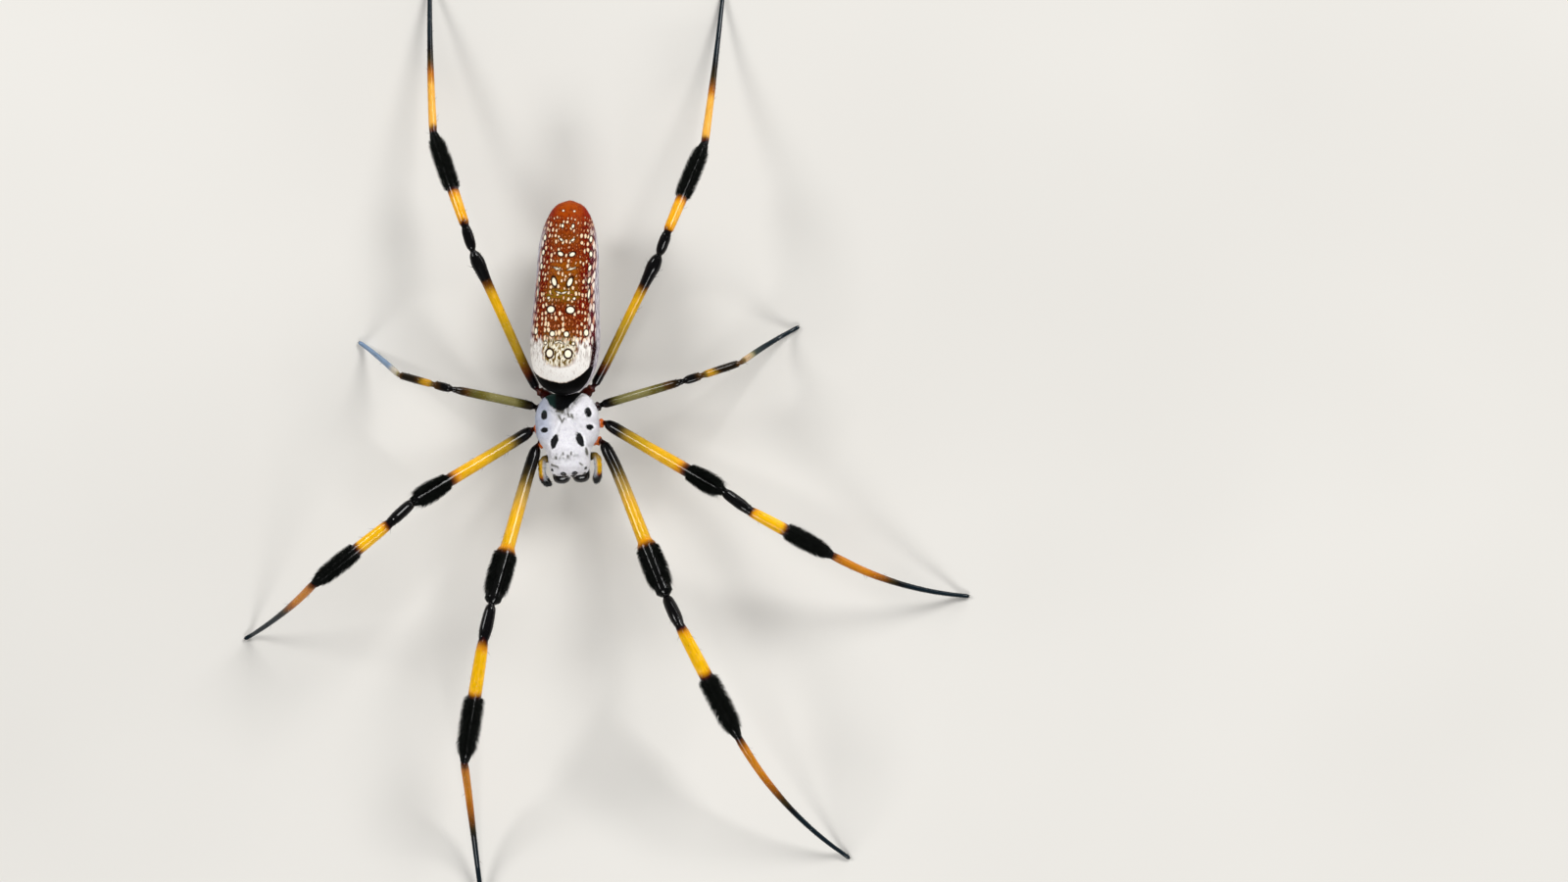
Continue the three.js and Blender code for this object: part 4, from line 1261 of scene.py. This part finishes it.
def floor_look():
    look = Look("floor", Roughness=0.85, Specular_IOR_Level=0.2)
    place = look.make("TexCoord", {}, "Object")
    cloud = look.noise(place, 9.0, 3.0)
    return look.use(Base_Color=look.mix(look.step(cloud, 0.3, 0.7), "dcd9d3", "e3e0da"))


looks = {
    "abdomen": abdomen_look(), "shield": shield_look(), "leg": leg_look(),
    "horn": horn_look("horn", "0a090a", "241a16", 0.16),
    "fang": horn_look("fang", "0b0706", "3a0f08", 0.12),
    "eye": eye_look(), "brush": hair_look("brush", 0.7, 2.2), "down": hair_look("down", 0.6, 1.15),
}

# ---- the pieces


def settle(piece, look, slot, *nodes):
    """Gives a piece its material, hangs it from the root body, and hides the CAD nodes it replaces.
    """
    if look is not None:
        piece.data.materials.clear()
        piece.data.materials.append(looks[look])
    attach(piece, "root")
    if nodes:
        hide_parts(*nodes)
    return piece


SKIN_SLOTS = ["abdomen", "shield", "leg", "horn"]
skin = join_patches("skin", patches, SKIN_SLOTS)
for name in SKIN_SLOTS:
    skin.data.materials.append(looks[name])
settle(skin, None, "abdomen_skin",
       *[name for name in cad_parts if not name.startswith(("eye_", "fang_"))])


def ball(centre, radius, cell, rows=18, around=28):
    """A closed round patch, for an eye."""
    at = np.linspace(0, np.pi, rows + 2)[1:-1, None]
    angle = np.linspace(0, 2 * np.pi, around, endpoint=False)
    ring = np.stack([np.sin(at) * np.cos(angle), np.sin(at) * np.sin(angle),
                     np.cos(at) + 0 * angle], -1)
    pole = radius * UP
    patch = Patch(centre + radius * ring, centre + pole, centre - pole, at[:, 0] / np.pi, cell, "eye")
    patch.values["plan"] = patch.rings - centre
    return patch


EYE_SWELL = 1.02
eyes = [ball(centre, EYE_SWELL * radius, (0.25 * (index % 4), 0.5 * (index // 4), 0.24, 0.48))
        for index, (centre, radius) in enumerate(eye_places())]
settle(join_patches("eyes", eyes, ["eye"]), "eye", "eye_black",
       *[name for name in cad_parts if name.startswith("eye_")])

FANG_SHAPE = ([0.0, 0.15, 0.35, 0.65, 0.9, 1.0], [0.24, 0.27, 0.25, 0.16, 0.06, 0.015])
CLAW_REACH = 0.26
CLAW_SPREAD = 0.05
CLAW_LOWEST = 0.03


def fang_patch(index, side):
    middle, shares, _, _ = ring_rows(f"fang_{side}", 6, origin + 40 * UP)
    middle[0] += 0.45 * UP
    at = np.linspace(0, 1, 30)
    patch = tube(limb_line(middle, shares, at), steady(*FANG_SHAPE, at), np.array([0, 1.0, 0]), 14,
                 (0.0, 0.5 * index, 1.0, 0.48), "fang")
    patch.values["plan"] = patch.rings - origin
    return patch


def claw_patch(index, leg, side):
    """One of the two small hooks at the tip of a foot."""
    tip = leg.line[-1]
    ahead = unit(tip - leg.line[-12])
    ahead[2] = 0
    across = unit(np.cross(ahead, UP))
    at = np.linspace(0, 1, 12)[:, None]
    start = tip - 0.14 * ahead + 0.07 * side * across + [0, 0, 0.06]
    line = (start + ahead * CLAW_REACH * at + across * side * CLAW_SPREAD * at
            + UP * (0.09 * np.sin(math.pi * at) - 0.20 * at**2))
    line[:, 2] = np.maximum(line[:, 2], CLAW_LOWEST)
    thick = 0.045 * (1 - at[:, 0]) ** 0.7 + 0.008
    cell = (0.25 * (index % 4), 0.25 * (index // 4), 0.24, 0.24)
    patch = tube(line, thick, UP, 8, cell, "fang")
    patch.values["plan"] = patch.rings - tip
    return patch


fangs = [fang_patch(index, side) for index, side in enumerate(SIDES)]
settle(join_patches("fangs", fangs, ["fang"]), "fang", "horn_black", "fang_left", "fang_right")
claws = [claw_patch(2 * index + (side > 0), leg, side)
         for index, leg in enumerate(legs.values()) for side in (-1, 1)]
settle(join_patches("claws", claws, ["fang"]), "fang", "horn_black")

# ---- hair


def lying(found, lean):
    """Directions `lean` (0 flat along the part, 1 upright) between the lie and the normal."""
    lean = np.asarray(lean)[:, None]
    return unit(found["long"] * (1 - lean) + found["normal"] * lean)


def jitter(vectors, amount):
    return unit(vectors + amount * random.normal(size=vectors.shape))


def shaded(base, spread, count):
    """The base colour with its brightness varied from hair to hair."""
    return base * np.exp(random.normal(0, spread, (count, 1)))


HAIR_KEYS = ("root", "normal", "first", "last", "length", "width", "uv", "tint", "plan")


def gather(parts):
    return {key: np.concatenate([p[key] for p in parts]) for key in HAIR_KEYS if key in parts[0]}


def hairs(patch, count, weight, leans, spread, length, width, tone, vary):
    """Hairs all over a patch; leans are at root and tip, and `tone` tells a hair's colour."""
    found = patch.scatter(count, weight)
    found["first"] = jitter(lying(found, np.full(count, leans[0])), spread[0])
    found["last"] = jitter(lying(found, np.full(count, leans[1])), spread[1])
    found["length"] = random.uniform(*length, count)
    found["width"] = np.full(count, width)
    found["tint"] = shaded(tone(found), vary, count)
    return found


def brush_hairs(leg, patch, segment, start):
    """The long hair of one brush, whose tips end at the outline of the CAD segment."""
    at = patch.values["plan"][..., 1]
    weight = ((at >= leg.place(segment, start)) & (at <= leg.place(segment, BRUSH_END))) * 1.0
    if segment == "femur":
        weight[:, [0, -1]] *= 0.25  # the ridge along the top is almost bare
    found = patch.scatter(BRUSH_HAIRS, weight)
    at = found["plan"][:, 1]
    begin, length = leg.starts[segment]
    share = (at - begin) / length
    outline = leg.outline(segment, np.minimum(share + 0.035, 0.985))
    reach = np.maximum(1.14 * outline - np.interp(at, *leg.skin_rows()), 0.12)
    lean = np.interp(share, [start, start + 0.05, 0.85, 1.0], [0.86, 0.70, 0.58, 0.34])
    lean = np.clip(lean + random.normal(0, 0.07, len(lean)), 0.12, 0.95)
    first = jitter(lying(found, lean), 0.10)
    last = jitter(lying(found, 0.72 * lean), 0.10)
    rise = (first * found["normal"]).sum(-1) + (last * found["normal"]).sum(-1)
    length = reach / np.maximum(rise / 2, 0.2)
    length *= 1 - 0.45 * random.random(len(reach)) ** 1.8
    return {**found, "first": first, "last": last, "length": length}


for number, brushes in BRUSHES.items():
    for side in SIDES:
        leg, patch = legs[number, side], leg_patches[number, side]
        found = gather([brush_hairs(leg, patch, *brush) for brush in brushes.items()])
        count = len(found["root"])
        found["width"] = random.uniform(0.026, 0.040, count)
        found["tint"] = shaded(colour("0a0d0a"), 0.30, count)
        settle(spikes(f"brush_{leg.name}", found, 0.03, steps=3), "brush", "tuft_black")


def leg_hair_tone(found):
    """Dark on the dark skin, and paler than the skin elsewhere."""
    dark = found["tint"].mean(-1, keepdims=True) < 0.03
    return np.where(dark, colour("2a2622"), 0.5 * found["tint"] + 0.3)


def spine_tone(found):
    return colour("0f0c0a")


def leg_hairs(leg, patch):
    """Short hair outside the brushes, and longer black spines, one here and there."""
    at = patch.values["plan"][..., 1]
    foot = leg.place("foot", 0.0)
    clear = (at > leg.place("femur", 0.02)) & (at < leg.length - 0.3)
    for segment, start in leg.brushes.items():
        clear &= (at <= leg.place(segment, start)) | (at >= leg.place(segment, BRUSH_END))
    found = hairs(patch, int(LEG_HAIRS * leg.length), clear * 1.0, (0.50, 0.20), (0.10, 0.10),
                  (0.22, 0.42), 0.022, leg_hair_tone, 0.25)
    found["length"] *= np.where(found["plan"][:, 1] > foot, 0.8, 1.0)
    clear = (clear & (at < leg.place("foot", 0.7))) * 1.0
    spines = hairs(patch, int(LEG_SPINES * leg.length), clear, (0.55, 0.35), (0.08, 0.05),
                   (0.45, 0.8), 0.04, spine_tone, 0.2)
    spines["length"] *= 0.8 if leg.number == 3 else 1.0
    return [found, spines]


setae = [part for key, leg in legs.items() for part in leg_hairs(leg, leg_patches[key])]
settle(spikes("setae_legs", gather(setae), 0.02), "down", "leg_amber")


def shield_down():
    """White down, flat, combed outwards and backwards behind and forwards on the head."""
    values = shield.values
    weight = ramp(0.0, 0.12, values["bare"]) * (shield.normals[..., 2] > -0.2)
    weight *= ramp(-0.02, 0.08, values["eye"]) * (1 - 0.8 * values["thin"])
    found = shield.scatter(SHIELD_HAIRS, weight)
    x, y, z = found["plan"].T
    normal = found["normal"]
    flow = turned(np.stack([0.9 * x, y - 1.6, 0 * z], -1), HEAD_YAW)
    flow = unit(flow - (flow * normal).sum(-1, keepdims=True) * normal)
    found["first"] = jitter(flow + 0.16 * normal, 0.12)
    found["last"] = jitter(flow + 0.04 * normal, 0.12)
    tone = np.where(random.random((SHIELD_HAIRS, 1)) < 0.2, colour("e2dfe8"), colour("fbfafc"))
    # the hairs take the painted bluish shade too
    tone = blend(blend(tone, 0.6 * found["cool"], "b8c4de"), 0.9 * found["thin"], "504c3a")
    found["length"] = random.uniform(0.14, 0.28, SHIELD_HAIRS)
    found["width"] = random.uniform(0.014, 0.022, SHIELD_HAIRS)
    found["tint"] = shaded(tone, 0.05, SHIELD_HAIRS)
    return found


settle(spikes("down_shield", shield_down(), 0.01, steps=1), "down", "shield_silver")


def abdomen_tone(found):
    """Like the skin below but paler, silver on the flanks and black in front."""
    tone = blend(0.9 * found["tint"], np.full(len(found["tint"]), 0.2), "d8a878")
    tone = blend(tone, found["flank"] * (1 - found["belly"]), "dcd6de")
    return np.where(found["front"][:, None] < 0, colour("0c0a0a"), tone)


found = hairs(abdomen, ABDOMEN_HAIRS, None, (0.45, 0.12), (0.12, 0.12), (0.16, 0.34), 0.016,
              abdomen_tone, 0.2)
settle(spikes("down_abdomen", found, 0.02), "down", "abdomen_skin")


def bristle_tone(found):
    # pale bristles where the palp has its painted gleam
    return blend(colour("15120f"), ramp(0.1, 0.4, found["pale"]), "f0f5fa")


def bristle_hairs(patch, count, low):
    """Bristles from the share `low` of a part on, pale where the part has a gleam."""
    weight = ramp(low, low + 0.45, patch.shares)[:, None] * np.ones(patch.rings.shape[:2])
    patch.values["pale"] = patch.values.get("gleam", 0 * weight)
    return hairs(patch, count, weight + 0.5 * patch.values["pale"], (0.45, 0.15), (0.12, 0.12),
                 (0.20, 0.40), 0.026, bristle_tone, 0.2)


bristles = [bristle_hairs(palp, PALP_BRISTLES, 0.34) for palp in palps]
bristles += [bristle_hairs(jaw, JAW_BRISTLES, 0.35) for jaw in chelicerae]
bristles.append(bristle_hairs(sternum, STERNUM_BRISTLES, 0.0))
settle(spikes("bristles_head", gather(bristles), 0.02), "down", "tuft_black")

# ---- floor, light, camera

FLOOR_REACH = 1.2
SKY_STRENGTH = 0.16
AIM = Vector((-0.01, 0.0, 0.006))     # where the lights point

floor_mesh = bpy.data.meshes.new("floor")
corners = [(x * FLOOR_REACH, y * FLOOR_REACH, 0) for x, y in ((-1, -1), (1, -1), (1, 1), (-1, 1))]
floor_mesh.from_pydata(corners, [], [(0, 1, 2, 3)])
floor_mesh.materials.append(floor_look())
floor = put("floor", floor_mesh)

LIGHTS = [
    # name, place, width, height, power
    ("strip", (0.84, 0.84, 0.22), 2.00, 0.07, 5.0),
    ("key", (0.54, 0.72, 0.72), 0.52, 0.32, 9.4),
    ("left", (-0.84, 0.40, 0.68), 0.40, 0.32, 6.2),
    ("front", (0.10, -0.92, 0.68), 0.44, 0.32, 5.4),
]
for name, place, wide, high, power in LIGHTS:
    data = bpy.data.lights.new(name, "AREA")
    data.shape = "RECTANGLE"
    data.energy, data.size, data.size_y = power, wide, high
    lamp = put(name, data)
    lamp.location = place
    lamp.rotation_euler = (AIM - Vector(place)).to_track_quat("-Z", "Y").to_euler()

world = bpy.data.worlds.new("room")
world.use_nodes = True
sky = world.node_tree.nodes["Background"].inputs
sky["Color"].default_value = (0.93, 0.96, 1.0, 1.0)
sky["Strength"].default_value = SKY_STRENGTH
bpy.context.scene.world = world
bpy.context.scene.view_settings.view_transform = "Standard"

camera_data = bpy.data.cameras.new("camera")
camera_data.lens, camera_data.sensor_width = CAMERA_LENS, SENSOR_WIDTH
camera_data.clip_start, camera_data.clip_end = 0.01, 10.0
camera = put("camera", camera_data)
camera.location = Vector((origin + CAMERA_PLACE) * MM)
bpy.context.scene.camera = camera
